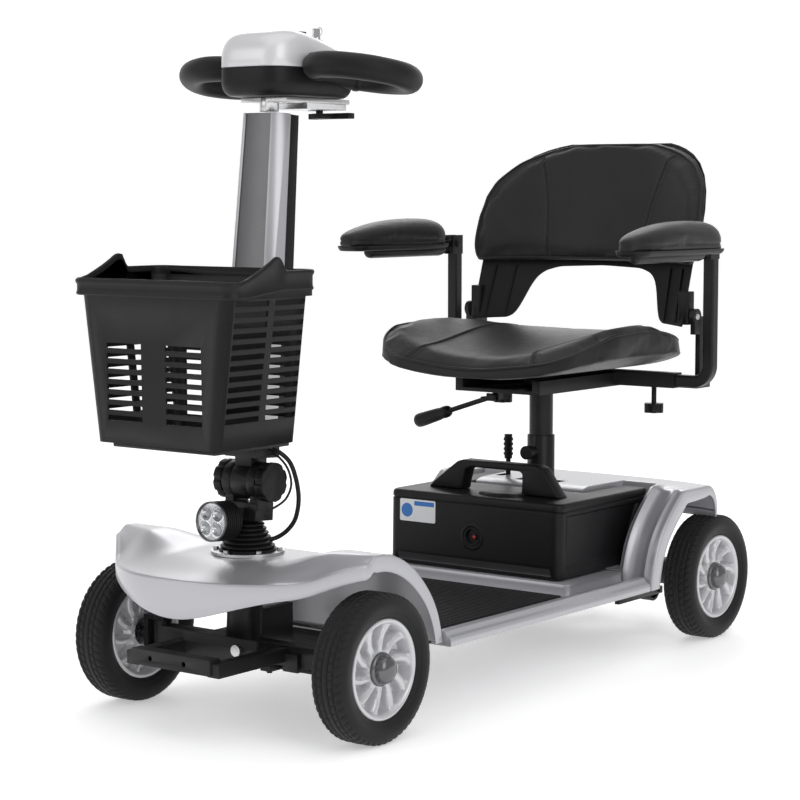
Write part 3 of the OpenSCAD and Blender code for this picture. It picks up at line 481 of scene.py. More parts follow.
def tyre_profile():
    """(across, radius) points in millimetres, a point about every millimetre on the tread."""
    half = []
    for (x0, r0), (x1, r1) in zip(TYRE_HALF, TYRE_HALF[1:]):
        steps = max(2, round(math.hypot(x1 - x0, r1 - r0) / (0.9 if r1 > 93 else 1.6)))
        half += [(mix(x0, x1, k / steps), mix(r0, r1, k / steps)) for k in range(steps)]
    half.append(TYRE_HALF[-1])
    return [(-x, r) for x, r in reversed(half[1:])] + half


SIPES, STEPS_PER_SIPE = 54, 9
GROOVES = [(-13.5, 1.5, 2.4), (-4.6, 1.2, 2.2), (4.6, 1.2, 2.2), (13.5, 1.5, 2.4)]


def tread_depth(x, turn):
    """How far the tread is cut below the carcass, in millimetres."""
    cut = sum(d * gauss(x - g, w) for g, w, d in GROOVES)
    ax = abs(x)
    if 5.5 < ax < 25.5:
        slant = 0.055 * (ax - 5.5) * (1 if x > 0 else -1)
        shift = 0.5 if x > 0 else 0
        d = abs((SIPES * turn + shift + slant) % 1 - 0.5)
        cut = max(cut, 1.9 * gauss(d, 0.13) * smooth01((25.5 - ax) / 3))
    if 24 < ax < 27:
        d = abs((SIPES * 2 * turn) % 1 - 0.5)
        cut += 0.35 * gauss(d, 0.2) * smooth01((ax - 24) / 1.5)
    return cut


def build_tyre():
    prof = tyre_profile()
    n, m = SIPES * STEPS_PER_SIPE, len(prof)
    verts = []
    for k, a in enumerate(angles(n)):
        for x, r in prof:
            rr = r - (tread_depth(x, k / n) if r > 88 else 0)
            verts.append((x / 1000, rr / 1000 * math.cos(a), rr / 1000 * math.sin(a)))
    return verts, grid_faces(n, m, True, True)


SPOKES, STEPS_PER_SPOKE = 10, 26


def rim_face(r, turn, back=False):
    """Height of the cast rim's face above its middle plane, in millimetres."""
    crest = along([(16, 15), (24, 14), (40, 13), (56, 15), (59, 16.5), (61, 20.5), (63, 22),
                   (65.5, 22), (66.8, 21)], r)
    reach = clamp01((r - 22) / 38)
    d = abs((SPOKES * turn + 0.42 * reach ** 1.5) % 1 - 0.5)
    half = mix(0.34, 0.23, reach)
    pocket = smooth01((d - half + 0.10) / 0.15) * smooth01((r - 24) / 6) * smooth01((59.5 - r) / 4)
    ridge = 1.8 * gauss(d, 0.10) * smooth01((r - 24) / 8) * smooth01((60 - r) / 6)
    return crest - (8 if back else 15.0) * pocket + ridge


def build_rim():
    radii = [16, 18, 20, 22, 24, 26, 28, 30, 32, 34.5, 37, 39.5, 42,
             44.5, 47, 49.5, 52, 54, 56, 57.5, 59, 60, 61, 62, 63, 64.3, 65.6, 66.6]
    n = SPOKES * STEPS_PER_SPOKE
    verts = []
    loop = [("front", r) for r in radii] + [("wall", 20), ("wall", -20)]
    loop += [("back", r) for r in reversed(radii)]
    m = len(loop)
    for k, a in enumerate(angles(n)):
        for kind, v in loop:
            if kind == "front":
                x, r = rim_face(v, k / n), v
            elif kind == "back":
                x, r = -rim_face(v, k / n, True) + 1, v
            else:
                x, r = v, 67.0
            verts.append((x / 1000, r / 1000 * math.cos(a), r / 1000 * math.sin(a)))
    return verts, grid_faces(n, m, True, True)


CAP = [(0, 33.5), (6, 33.2), (12, 31.8), (16, 29.0), (18.3, 25.0), (19, 21), (19, 19.5), (21.5, 18.6),
       (22.6, 17.0), (22.6, 13.5)]
HUB_BACK = [(9, -12), (20, -12), (21, -14), (20.5, -17), (9, -17.5)]


def wheel_pieces():
    tyre_v, tyre_f = build_tyre()
    rim_v, rim_f = build_rim()
    for corner in ("front_left", "front_right", "rear_left", "rear_right"):
        node = corner + "_tyre"
        body = BODY_OF[node]
        c = middle(node)
        side = 1 if c.x > 0 else -1

        def put(verts):
            return [c + Vector((side * v[0], v[1], v[2])) for v in verts]

        t = add(corner + "_tread", put(tyre_v), tyre_f, "tyre", body, SLOT_OF[node], sharp=40)
        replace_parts(t, node)
        r = add(corner + "_wheel", put(rim_v), rim_f, "rim", body, SLOT_OF[corner + "_rim"], sharp=40)
        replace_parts(r, corner + "_rim")
        cap_v, cap_f = lathe(mm(CAP), 40, Vector((0, 0, 0)))
        add(corner + "_hub_cap", put(cap_v), cap_f, "gloss", body, "trim_black", sharp=50)
        hub_v, hub_f = lathe(mm(HUB_BACK), 32, Vector((0, 0, 0)))
        add(corner + "_hub", put(hub_v), hub_f, "steel", body, "steel", sharp=30)


wheel_pieces()


# ------------------------------------------------------------------ front cover
AXLE_Y, AXLE_Z = 440.5, 100.0
STEER_Z = 231.0
CREST_T = 0.48
EDGE_X = 222.0
REAR_X = 233.5
CORNER_X = 162.0
# metres: the covers' wall, the radius of their lips, and the holes for boot and seat tube
COVER_WALL, LIP_R = 0.003, 0.0035
BOOT_HOLE_R, SADDLE_LOW, POST_HOLE_R = 0.036, 0.2, 0.026


def nose_line(x):
    return -597 + 70 * min(abs(x) / CORNER_X, 1) ** 2.4 + 1.05 * max(0, abs(x) - CORNER_X)


def crease_z(x):
    knots = [(140, 217), (165, 217), (200, 233), (225, 241)]
    return sum(along(knots, abs(x) + d) for d in (-9, -3, 3, 9)) / 4


def crown(a):
    return 141 + 9 * smooth01((a - 38) / 55)


def rad(a):
    return math.radians(a)


def fender_line(x, t):
    if t < CREST_T:
        s = t / CREST_T
        return (mix(nose_line(x), -AXLE_Y, s),
                mix(crease_z(x), AXLE_Z + crown(90), smooth01(s * 1.25 + 0.02)))
    a = mix(90, 5, (t - CREST_T) / (1 - CREST_T))
    return (-AXLE_Y + crown(a) * math.cos(rad(a)), AXLE_Z + crown(a) * math.sin(rad(a)))


def saddle_line(y0, t):
    if t < CREST_T:
        s = t / CREST_T
        return (mix(y0, -AXLE_Y, s), mix(217, STEER_Z, smooth01(1.3 * s)))
    a = mix(90, 5, (t - CREST_T) / (1 - CREST_T))
    return (-AXLE_Y + 140 * math.cos(rad(a)),
            AXLE_Z + (STEER_Z - AXLE_Z) * min(1, 1.1 * math.sin(rad(a))))


def cover_point(x, t):
    w = smooth01((abs(x) - 78) / 90)
    a, b = fender_line(x, t), saddle_line(nose_line(x), t)
    return at(x, mix(b[0], a[0], w), mix(b[1], a[1], w) + 0.4)


def nose_drop(x):
    return mix(52, 18, smooth01(abs(x) / 172))


def skirt(edge, inward, drops, r, thick):
    """A rounded lip along an edge: points, the way out at each, how far it hangs and where to."""
    rows = []
    for p, (out, down), drop in zip(edge, inward, drops):
        row = []
        for k in range(6):
            a = math.pi / 2 * k / 5
            row.append(p + out * r * math.sin(a) + down * r * (1 - math.cos(a)))
        tip = p + out * r + down * drop
        row += [mix(row[-1], tip, 0.5), tip - down * 0.0008, tip - out * 0.0008]
        row += [tip - out * (thick - 0.0008), tip - out * thick - down * 0.001,
                p + out * (r - thick) + down * r]
        rows.append(row)
    return rows


def strip(rows):
    return [p for row in rows for p in row], grid_faces(len(rows), len(rows[0]))


def front_cover():
    nx, nt = 64, 110
    # stations crowd towards the fender edges
    xs = [EDGE_X * math.copysign(abs(k / nx) ** 0.85, k) for k in range(-nx, nx + 1)]
    top = [[cover_point(x, j / nt) for j in range(nt + 1)] for x in xs]
    verts, faces = shell(top, underside(top, COVER_WALL))
    hole = at(0, -443, 231)
    keep = []
    for f in faces:
        c = face_middle(verts, f)
        if math.hypot(c.x - hole.x, c.y - hole.y) > BOOT_HOLE_R or c.z < SADDLE_LOW:
            keep.append(f)
    ob = add("front_cover_skin", verts, keep, "silver", "chassis", "cover_silver", sharp=40)
    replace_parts(ob, "front_cover")

    # lip round the nose and over both wheels
    edge = []
    down = Vector((0, 0, -1))
    centre = at(0, -AXLE_Y - 30, AXLE_Z + 10)
    for side in (-1, 1):
        js = range(nt, 0, -1) if side < 0 else range(1, nt + 1)
        part = []
        for j in js:
            t = j / nt
            p = cover_point(side * EDGE_X, t)
            aim = Vector((0, centre.y - p.y, centre.z - p.z)).normalized()
            w = smooth01(t / 0.12)
            aim = (down * (1 - w) + aim * w).normalized()
            front_out = Vector((side * 0.75, -0.66, 0))
            out = (front_out * (1 - w) + Vector((side, 0, 0)) * w).normalized()
            drop = along([(0, 19), (0.25, 21), (CREST_T, 24), (0.75, 20), (1, 16)], t) / 1000
            part.append((p, (out, aim), drop))
        edge += part
        if side < 0:
            for k in range(-nx, nx + 1):
                x = xs[k + nx]
                p = cover_point(x, 0)
                a = cover_point(min(EDGE_X, x + 1), 0) - cover_point(max(-EDGE_X, x - 1), 0)
                out = Vector((a.y, -a.x, 0)).normalized()
                edge.append((p, (out, (down - out * 0.10 * (1 - abs(x) / EDGE_X)).normalized()),
                             nose_drop(x) / 1000 + 0.002))
    rows = skirt([e[0] for e in edge], [e[1] for e in edge], [e[2] for e in edge],
                 LIP_R, COVER_WALL)
    v, f = strip(rows)
    add("front_cover_lip", v, f, "silver", "chassis", "cover_silver", sharp=50)


front_cover()


# ------------------------------------------------------------------ rear cover
NOTCH_X = 108


def rear_foot(x):
    return along([(0, 232), (NOTCH_X - 6, 232), (NOTCH_X, 272), (168, 276), (176, 229)], x)


def rear_brow(x):
    return along([(0, 238), (NOTCH_X - 6, 238), (NOTCH_X, 350), (168, 354), (176, 318)], x)


def arch_relief(ax):
    """Raised bead beside the battery box, hollow channel and outer crease of the rear arch."""
    return (4.5 * gauss(ax - 184, 4.0) - 4.0 * smooth01((ax - 188) / 10) * smooth01((222 - ax) / 10)
            + 2.0 * gauss(ax - 221, 3.5))


def rear_point(x, t):
    ax = abs(x)
    f, b = rear_foot(ax), rear_brow(ax)
    bulge = -along([(0, 0), (NOTCH_X, 0), (168, 0), (176, -17), (240, -17)], ax)
    top = 256 - 4 * (ax / 237) ** 4
    if t < 0.4:
        s = t / 0.4
        relief = arch_relief(ax) * smooth01(s * 8)
        y = mix(f, b, s) - bulge * math.sin(math.pi * s)
        z = mix(mix(124, 107, smooth01((ax - 171) / 6)), top - 5, s ** 0.8)
        return at(x, y - relief * math.cos(rad(60 * s)), z + relief * math.sin(rad(60 * s)))
    if t < 0.8:
        s = (t - 0.4) / 0.4
        relief = arch_relief(ax) * (1 - smooth01(s * 1.6))
        return at(x, mix(b, 402, smooth01(s)) + 2 * s - relief * 0.5 * (1 - s),
                  top - 5 * (1 - smooth01(s * 4)) + relief * 0.9)
    s = (t - 0.8) / 0.2
    return at(x, 404 + 28 * math.sin(rad(90 * s)), top - 42 * (1 - math.cos(rad(90 * s))))


def rear_cover():
    xs_half = [0, 40, 80, 96, 102, 103.5, 106, 108, 112, 124, 140, 155, 165, 168, 170, 173, 176,
               178, 180, 182, 184, 186, 188, 191, 195, 200, 205, 210, 214, 217, 219, 221, 223, 225,
               228, 231, REAR_X]
    xs = [-x for x in reversed(xs_half[1:])] + xs_half
    nt = 84
    top = [[rear_point(x, j / nt) for j in range(nt + 1)] for x in xs]
    verts, faces = shell(top, underside(top, COVER_WALL))
    post = middle("seat_tube")
    slot_lo, slot_hi = at(-92, 284, 0), at(-78, 314, 0)
    keep = []
    for f in faces:
        c = face_middle(verts, f)
        in_slot = slot_lo.x < c.x < slot_hi.x and slot_lo.y < c.y < slot_hi.y
        if math.hypot(c.x - post.x, c.y - post.y) > POST_HOLE_R and not in_slot:
            keep.append(f)
    ob = add("rear_cover_skin", verts, keep, "silver", "chassis", "cover_silver", sharp=40)
    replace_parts(ob, "rear_cover")
    centre = at(0, 385, 110)
    for side in (-1, 1):
        pts, ways, drops = [], [], []
        for j in range(nt + 1):
            t = j / nt
            p = rear_point(side * REAR_X, t)
            aim = Vector((0, centre.y - p.y, centre.z - p.z)).normalized()
            pts.append(p)
            ways.append((Vector((side, 0, 0)), aim))
            drops.append(along([(0, 24), (0.4, 25), (0.8, 16), (1, 12)], t) / 1000)
        v, f = strip(skirt(pts, ways, drops, LIP_R, COVER_WALL))
        add("rear_cover_lip_" + hand(side), v, f, "silver", "chassis",
            "cover_silver", sharp=50)
    # closing panel across the back edge
    back = [rear_point(x, 1) for x in xs]
    v, f = strip(skirt(back, [(Vector((0, 1, 0)), Vector((0, 0, -1)))] * len(xs),
                       [0.014] * len(xs), COVER_WALL, COVER_WALL))
    add("rear_cover_back", v, f, "silver", "chassis", "cover_silver", sharp=50)


rear_cover()


# ------------------------------------------------------------------ battery pack
BOX_TOP, BOX_FRONT = 250.0, 83.0
BOX_HALF, BOX_NOTCH, BOX_NOTCH_Y = 161.0, 112.0, 226.0


def round_corners(points, radii, n=6):
    """A closed plan outline with its corners rounded."""
    out = []
    m = len(points)
    for i, (p, r) in enumerate(zip(points, radii)):
        p = Vector(p)
        a = (Vector(points[i - 1]) - p).normalized()
        b = (Vector(points[(i + 1) % m]) - p).normalized()
        half = math.acos(max(-1, min(1, a.dot(b)))) / 2
        d = r / math.tan(half)
        c = p + (a + b).normalized() * (r / math.sin(half))
        s, e = p + a * d - c, p + b * d - c
        for k in range(n + 1):
            out.append(c + s.slerp(e, k / n).normalized() * r if r > 0.05 else p)
    return out


def resample(points, step):
    """Points of a closed outline at even distances, keeping its corners."""
    out = []
    for i, p in enumerate(points):
        q = points[(i + 1) % len(points)]
        k = max(1, round((q - p).length / step))
        out += [p.lerp(q, j / k) for j in range(k)]
    return out


def ring_solid(rings, cap_top=True):
    """Vertices and faces of a solid through closed rings, with its ends capped."""
    m = len(rings[0])
    verts = [p for ring in rings for p in ring]
    faces = grid_faces(len(rings), m, False, True)
    faces.append(tuple(reversed(range(m))))
    if cap_top:
        faces.append(tuple((len(rings) - 1) * m + k for k in range(m)))
    return verts, faces


CASE_LOW, CASE_TALL = 134, 116


def case_back(z):
    return mix(268, 344, clamp01((z - CASE_LOW) / CASE_TALL))


def foot_strip(z):
    """How far the sloping strip along the foot of the front stands back."""
    return 3.4 * clamp01((152 - z) / 12)


def case_outline(z, inset):
    back = case_back(z) - inset
    front = BOX_FRONT + inset + 2 * (z - CASE_LOW) / CASE_TALL
    half = BOX_HALF - inset
    notch, notch_y = BOX_NOTCH + inset, BOX_NOTCH_Y - inset
    return [(-half, front), (half, front), (half, back), (notch, back), (notch, notch_y),
            (-notch, notch_y), (-notch, back), (-half, back)]


def battery_case():
    levels = [(134, 3.0), (135, 1.4), (136.5, 0.4), (138, 0)]
    levels += [(z, 0) for z in range(141, 234, 3)]
    levels += [(235, 0), (236, 0.2), (236.8, 1.3), (237.8, 1.3), (238.6, 0.2), (240, 0), (243, 0),
               (246, 0.3), (248, 1.1), (249.3, 2.6), (250, 4.8)]
    radii = [13, 13, 7, 4, 5, 5, 4, 7]
    base = round_corners(case_outline(190, 0), radii)
    rings = []
    for z, inset in levels:
        outline = round_corners(case_outline(z, inset), radii)
        ring = []
        for i in range(len(outline)):
            p, q = outline[i], outline[(i + 1) % len(outline)]
            k = max(1, round((base[(i + 1) % len(base)] - base[i]).length / 4))
            ring += [p.lerp(q, j / k) for j in range(k)]
        back = case_back(z)
        pts = []
        for p in ring:
            x, y = p
            if abs(x) > BOX_HALF - 0.6:
                # recessed panel in each side
                edge = min(y - 104, back - 16 - y, z - 148, 231 - z)
                x -= math.copysign(4.0 * smooth01(edge / 3.4), x)
            if y < BOX_FRONT + 3 and abs(x) < BOX_HALF - 14:
                # sloping strip along the foot of the front
                side_edge = min(1, (BOX_HALF - 14 - abs(x)) / 3)
                y += foot_strip(z) * side_edge * (1 if z > 137 else 0.8)
            pts.append(at(x, y, z))
        rings.append(pts)
    verts, faces = ring_solid(rings)
    # the faces behind the charge collar are left out
    hole = at(0, BOX_FRONT, 187)

    def kept(face):
        c = face_middle(verts, face) - hole
        return len(face) > 4 or abs(c.y) > 0.006 or math.hypot(c.x, c.z) > 0.0178

    ob = add("battery_shell", verts, [f for f in faces if kept(f)], "box", "battery",
             SLOT_OF["battery_case"], sharp=35)
    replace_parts(ob, "battery_case")

    # glossy strip along the foot of the front
    v, f = shell(*[[[at(x, BOX_FRONT + foot_strip(z) + d, z) for z in (139, 145, 151)]
                    for x in (-144, -72, 0, 72, 144)] for d in (-0.25, 0.5)])
    add("battery_gloss_strip", v, f, "gloss", "battery", "box_black", sharp=50)

    # lens and contact in the charge recess
    v, f = lathe([(0.0001, -0.0006), (0.0026, -0.0003), (0.0040, 0.0012), (0.0042, 0.0040)], 24,
                 at(4, BOX_FRONT + 0.6, 187), "y")
    add("battery_charge_lens", v, f, "red", "battery", "horn_red", sharp=60)
    v, f = lathe([(0.0150, 0.0095), (0.0150, 0.0014), (0.0156, 0.0004), (0.0166, 0.0), (0.0212, 0.0),
                  (0.0220, 0.0008), (0.0220, 0.004)], 48, at(0, BOX_FRONT + 0.2, 187), "y")
    add("battery_charge_collar", v, f, "box", "battery", "box_black", sharp=50)

    # blank plate with a plain band and dot
    plate = round_corners(rect(-140, -71, 201, 236), [2.5] * 4, 5)
    band = round_corners(rect(-112, -73.5, 226.5, 233.5), [0.8] * 4, 3)
    dot = [Vector((-126 + 11 * math.cos(rad(a)), 218.5 + 11 * math.sin(rad(a)))) for a in range(0, 360, 10)]
    for tag, outline, depths, mat in (("", plate, (-0.3, 0.5), "label"),
                                      ("_band", band, (0.3, 0.7), "label_blue"),
                                      ("_dot", dot, (0.3, 0.7), "label_blue")):
        v, f = ring_solid([[at(p.x, BOX_FRONT + 2 * (p.y - CASE_LOW) / CASE_TALL - d, p.y)
                            for p in outline] for d in depths])
        add("battery_plate" + tag, v, f, mat, "battery", "cover_silver", sharp=30)

    # cap over the cable entry in the lid
    cap = [(0, 4.4), (20, 4.3), (34, 3.9), (37, 2.9), (38, 1.2), (38, -1.0)]
    verts = []
    for a in angles(48):
        grow = 1 + 0.16 * math.exp(-((math.degrees(a) - 200) / 16) ** 2)
        for r, h in cap:
            r = max(r, 0.05) * grow
            verts.append(at(28 + r * math.cos(a), 132 + 0.72 * r * math.sin(a), BOX_TOP + h + 0.2))
    add("battery_lid_cap", verts, grid_faces(48, len(cap), True), "box", "battery", "box_black", sharp=40)


battery_case()
rounded("battery_handle", "box", 0.0032, 3, 20)


# ------------------------------------------------------------------ stem, lamp and boot
RAKE = rad(4)


def on_stem(x, y, z):
    """A point in the frame of the steering axis, from the foot of the boot up."""
    return at(x, -443 + y * math.cos(RAKE) + z * math.sin(RAKE),
              STEER_Z - y * math.sin(RAKE) + z * math.cos(RAKE))


def tilt(verts):
    """Turns points that were made about the origin, in metres, onto the steering axis."""
    return [on_stem(v.x * 1000, v.y * 1000, v.z * 1000) for v in verts]


def lamp():
    z, front = 46, -77
    body = [(27.0, 3.0), (27.0, 0.6), (26.4, 0.0), (25.2, 0.0), (24.4, 1.2), (24.2, 5)]
    middle_line = Vector((0, 0, z / 1000))

    def along_lamp(pairs):
        return [(r / 1000, (front + h) / 1000) for r, h in pairs]

    v, f = lathe(along_lamp(body), 56, middle_line, "y")
    add("headlamp_bezel", tilt(v), f, "gloss", "stem", "trim_black", sharp=50)
    fins = [(27.0, 2.4)]
    for y in range(4, 33, 4):
        fins += [(27.0, y), (27.0, y + 1.6), (25.0, y + 2.2), (25.0, y + 3.4)]
    fins += [(24, 35), (14, 36.5), (0.1, 36.5)]
    v, f = lathe(along_lamp(fins), 56, middle_line, "y")
    ob = add("headlamp_housing", tilt(v), f, "trim", "stem", "trim_black", sharp=35)
    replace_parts(ob, "headlamp_body")
    # reflector plate with four cups
    rings, cups = 26, [(-10, -10), (10, -10), (-10, 10), (10, 10)]
    verts = []
    n = 96
    for i in range(rings + 1):
        r = 24.2 * i / rings
        for x, zz in circle(r, n):
            d = min(math.hypot(x - a, zz - b) for a, b in cups)
            depth = 3.2 + 5.6 * (1 - clamp01(d / 8.6) ** 2) + 0.7 * gauss(d - 8.8, 0.7)
            verts.append(on_stem(x, front + depth - (1.4 * gauss(d - 8.8, 0.7)), z + zz))
    ob = add("headlamp_cups", verts, grid_faces(rings + 1, n, False, True), "reflector", "stem",
             "reflector", sharp=60)
    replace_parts(ob, "headlamp_reflector")
    for i, (x, dz) in enumerate(cups):
        v, f = lathe([(0.0001, (front + 3.2) / 1000), (0.0022, (front + 3.8) / 1000),
                      (0.0036, (front + 5.4) / 1000), (0.0040, (front + 8.2) / 1000)], 20,
                     Vector((x / 1000, 0, (z + dz) / 1000)), "y")
        add("headlamp_bead_%d" % (i + 1), tilt(v), f, "label", "stem", "reflector", sharp=60)
    v, f = lathe([(0.0001, (front + 1.0) / 1000), (0.0120, (front + 1.2) / 1000), (0.0210, (front + 1.8) / 1000),
                  (0.0243, (front + 2.4) / 1000), (0.0243, (front + 3.2) / 1000),
                  (0.0210, (front + 2.8) / 1000), (0.0120, (front + 2.2) / 1000),
                  (0.0001, (front + 2.0) / 1000)], 48, Vector((0, 0, z / 1000)), "y")
    add("headlamp_lens", tilt(v), f, "lens", "stem", "reflector", sharp=60)


lamp()


def boot():
    ribs = 6
    profile = [(38.6, -0.2), (39.2, 0.8), (39.2, 2.4)]
    for i in range(ribs):
        r = mix(38, 21, (i + 0.35) / ribs)
        z = 2.6 + i * 5.9
        profile += [(r - 3.6, z + 0.9), (r - 1.0, z + 1.5), (r + 0.3, z + 2.7), (r + 0.2, z + 4.2),
                    (r - 1.2, z + 5.2)]
    profile += [(19.2, 38.2), (16.0, 38.2), (15.6, 37)]
    base = middle("stem_boot")
    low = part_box("stem_boot")[0].z
    v, f = lathe(mm(profile), 64, Vector((base.x, base.y, low)), "z")
    ob = add("boot_bellows", v, f, "trim", "chassis", SLOT_OF["stem_boot"], sharp=50)
    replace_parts(ob, "stem_boot")


boot()
for node_name, mat_name, width in (
        ("steering_stem", "frame", 0.0014), ("tiller_hinge", "frame", 0.0016),
        ("fold_knobs", "trim", 0.0016),
        ("head_bracket", "bright", 0.0014), ("tiller_column", "column", 0.0030),
        ("column_trim", "silver", 0.0013), ("frame", "frame", 0.0016), ("seat_frame", "frame", 0.0014)):
    made = rounded(node_name, mat_name, width, 2, 28)
    if node_name == "tiller_column":
        # the sides behind the silver trims stay black
        made.data.materials.append(M["trim"])
        for poly in made.data.polygons:
            if abs(poly.normal.x) > 0.5 or poly.normal.y > 0:
                poly.material_index = 1


# ------------------------------------------------------------------ tiller head
def head():
    def outline(n=96):
        pts = []
        for a in angles(n):
            c, s = math.cos(a), math.sin(a)
            e = 2 / 3.8
            pts.append((62 * math.copysign(abs(c) ** e, c), 91.5 * math.copysign(abs(s) ** e, s)))
        return pts

    def top_height(y):
        return along([(-445, 44), (-425, 50), (-395, 52), (-365, 49), (-335, 41), (-300, 31),
                      (-262, 22)], y)

    plan = outline()
    cy = -353.5
    rings = []
    # silver upper shell
    for shrink, lift in [(0.985, -1.2), (1.0, 0.0)]:
        rings.append([at(x * shrink, cy + y * shrink, 884.6 + lift + 1.2) for x, y in plan])
    n = 22
    for i in range(1, n + 1):
        a = math.pi / 2 * i / n
        s = math.cos(a) ** 0.46
        ring = []
        for x, y in plan:
            h = top_height(cy + y * s)
            ring.append(at(x * s, cy + y * s, 886 + (h - 1.4) * math.sin(a) ** 0.60))
        rings.append(ring)
    v, f = ring_solid(rings, cap_top=False)
    ob = add("head_top", v, f, "head", "tiller", SLOT_OF["head_upper_shell"], sharp=50)
    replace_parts(ob, "head_upper_shell")
    # black lower shell, with a fine step at the join
    rings = [[at(x * 0.55, cy + y * 0.7, 846.2) for x, y in plan]]
    for i in range(0, 13):
        a = math.pi / 2 * i / 12
        s = 1 - 0.20 * (1 - math.sin(a))
        rings.append([at(x * s, cy + y * (1 - 0.13 * (1 - math.sin(a))), 846.4 + 20 * (1 - math.cos(a)))
                      for x, y in plan])
    rings += [[at(x, cy + y, z) for x, y in plan] for z in (872, 880, 883.2)]
    rings += [[at(x * 0.982, cy + y * 0.988, z) for x, y in plan] for z in (883.8, 884.6)]
    v, f = ring_solid(rings)
    ob = add("head_bottom", v, f, "box", "tiller", SLOT_OF["head_lower_shell"], sharp=50)
    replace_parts(ob, "head_lower_shell")


head()


GRIP_R, GRIP_SIDES, COLLAR_X = 0.0175, 26, 0.0655


def handlebar():
    for side in (1, -1):
        path = []
        for a in angles(112):
            c, s = math.cos(a), math.sin(a)
            path.append(at(side * (115 + 62 * c), -330 + 66 * s * (1 - 0.12 * c), 877 - 9 * s - 4 * c))
        n = len(path)

        def axes(i):
            t = (path[(i + 1) % n] - path[i - 1]).normalized()
            u = t.cross(Vector((0, 0, 1))).normalized()
            return t, u, u.cross(t)

        def end_miss(i, end):
            """How far point i is from the collar at one end of the loop."""
            beyond = (path[i].y - at(0, -330, 0).y) * end > 0
            return abs(abs(path[i].x) - COLLAR_X) + (0 if beyond else 9)

        verts = []
        for i in range(n):
            _, u, w = axes(i)
            wave = (1 + 0.010 * math.sin(2 * math.pi * 3 * i / n)
                    + 0.006 * math.sin(2 * math.pi * 7 * i / n + 1.3))
            for x, y in circle(GRIP_R * wave, GRIP_SIDES):
                verts.append(path[i] + u * x + w * y)
        ob = add("handlebar_foam_" + hand(side), verts, grid_faces(n, GRIP_SIDES, True, True), "foam",
                 "tiller", SLOT_OF["handlebar"], sharp=60)
        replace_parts(ob, "handlebar")
        # collar where the foam meets the head
        for end in (-1, 1):
            best = min(range(n), key=lambda i: end_miss(i, end))
            t, u, w = axes(best)
            prof = [(0.0150, -0.004), (0.0186, -0.0034), (0.0191, -0.002), (0.0191, 0.002), (0.0186, 0.0034),
                    (0.0150, 0.004)]
            v, f = lathe(prof, 32, Vector((0, 0, 0)), "z")
            v = [path[best] + u * p.x + w * p.y + t * p.z for p in v]
            add("handlebar_collar_%s_%s" % (hand(side), "front" if end < 0 else "back"),
                v, f, "trim", "tiller", "trim_black", sharp=40)


handlebar()


def small_controls():
    # bosses round the controls on the head's top
    for name, x, y, r in (("key", 30, -328, 9), ("dial", 0, -330, 12.5), ("horn", -30, -328, 8.5)):
        z = 886 + along([(-335, 39), (-300, 29)], y) * (1 - (abs(x) / 62) ** 4) ** 0.3
        prof = [(r - 2.6, 2.6), (r - 1.2, 2.8), (r - 0.2, 2.2), (r + 0.3, 0.8), (r + 0.9, -1.0), (r + 1, -6)]
        v, f = lathe(mm(prof), 36, at(x, y, z - 1), "z")
        add("head_boss_" + name, v, f, "trim", "tiller", "trim_black", sharp=50)
    # split ring hanging from the key
    ring = [at(30 + 0.3 * math.sin(a), -328 + 5.2 * math.cos(a) + 7.5, 936.5 + 5.2 * math.sin(a))
            for a in angles(32)]
    v, f = sweep(ring, circle(0.0007, 8), closed=True, up=Vector((1, 0, 0.01)))
    add("key_ring", v, f, "steel", "key", "steel", sharp=60)


small_controls()


# ------------------------------------------------------------------ wiring
def loom():
    thick = [(30, -424, 372), (40, -421, 369), (50, -412, 356), (55, -406, 336), (57, -402, 312),
             (55, -401, 292), (50, -403, 274), (42, -411, 260), (33, -421, 252), (26, -430, 250)]
    thin = [(26, -424, 368), (36, -418, 362), (44, -409, 346), (46, -404, 324), (38, -406, 304),
            (26, -416, 292), (16, -428, 286)]
    for name, pts, r in (("loom_thick", thick, 0.0031), ("loom_thin", thin, 0.0016)):
        path = spline([at(*p) for p in pts], 6)
        v, f = sweep(path, circle(r, 14), up=Vector((1, 0, 0)))
        ob = add(name, v, f, "cable", None, "cable_black", sharp=60)
        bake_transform(ob)
        if name == "loom_thick":
            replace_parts(ob, "tiller_cable")


loom()


# ------------------------------------------------------------------ floor and sills
def floor_pieces():
    sill = [(196, 106), (196, 112.2), (199, 112.8), (201.4, 117.6), (204, 120.8), (209, 121.8),
            (211.4, 125.2), (214.4, 127.2), (222, 127.6), (225.6, 126.2), (228, 121.8), (231, 119.8),
            (234.4, 118.2), (236, 114.6), (236, 108), (234.6, 106)]
    for side in (1, -1):
        rings = [[at(side * x, y, z) for x, z in sill] for y in
                 [-296, -295] + list(range(-280, 221, 20)) + [225, 226]]
        v, f = ring_solid(rings)
        ob = add("sill_" + hand(side), v, f, "silver", "chassis", "floor_silver",
                 sharp=50)
        bevelled(ob, 0.0008, 2, 40)
    plate = rect(-206, 206, -296, 226)
    rings = [[at(p.x, p.y, z) for p in round_corners(plate, [4] * 4, 3)] for z in (106, 112)]
    v, f = ring_solid(rings)
    ob = add("floor_plate", v, f, "silver", "chassis", "floor_silver", sharp=30)
    bevelled(ob, 0.0012, 2, 40)
    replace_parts(ob, "floor_pan")
    rings = []
    for z, grow in ((111, 3.0), (113, 1.6), (116, 0.8), (126, 0.0), (130, -0.4), (131.6, -1.3),
                    (132.4, -3.0)):
        half = 184 + abs(grow)
        out = round_corners(rect(-half, half, 74 - grow, 226 + grow), [10, 10, 3, 3], 6)
        rings.append([at(p.x, min(p.y, 226), z) for p in out])
    v, f = ring_solid(rings)
    add("battery_shelf", v, f, "silver", "chassis", "floor_silver", sharp=30)


floor_pieces()


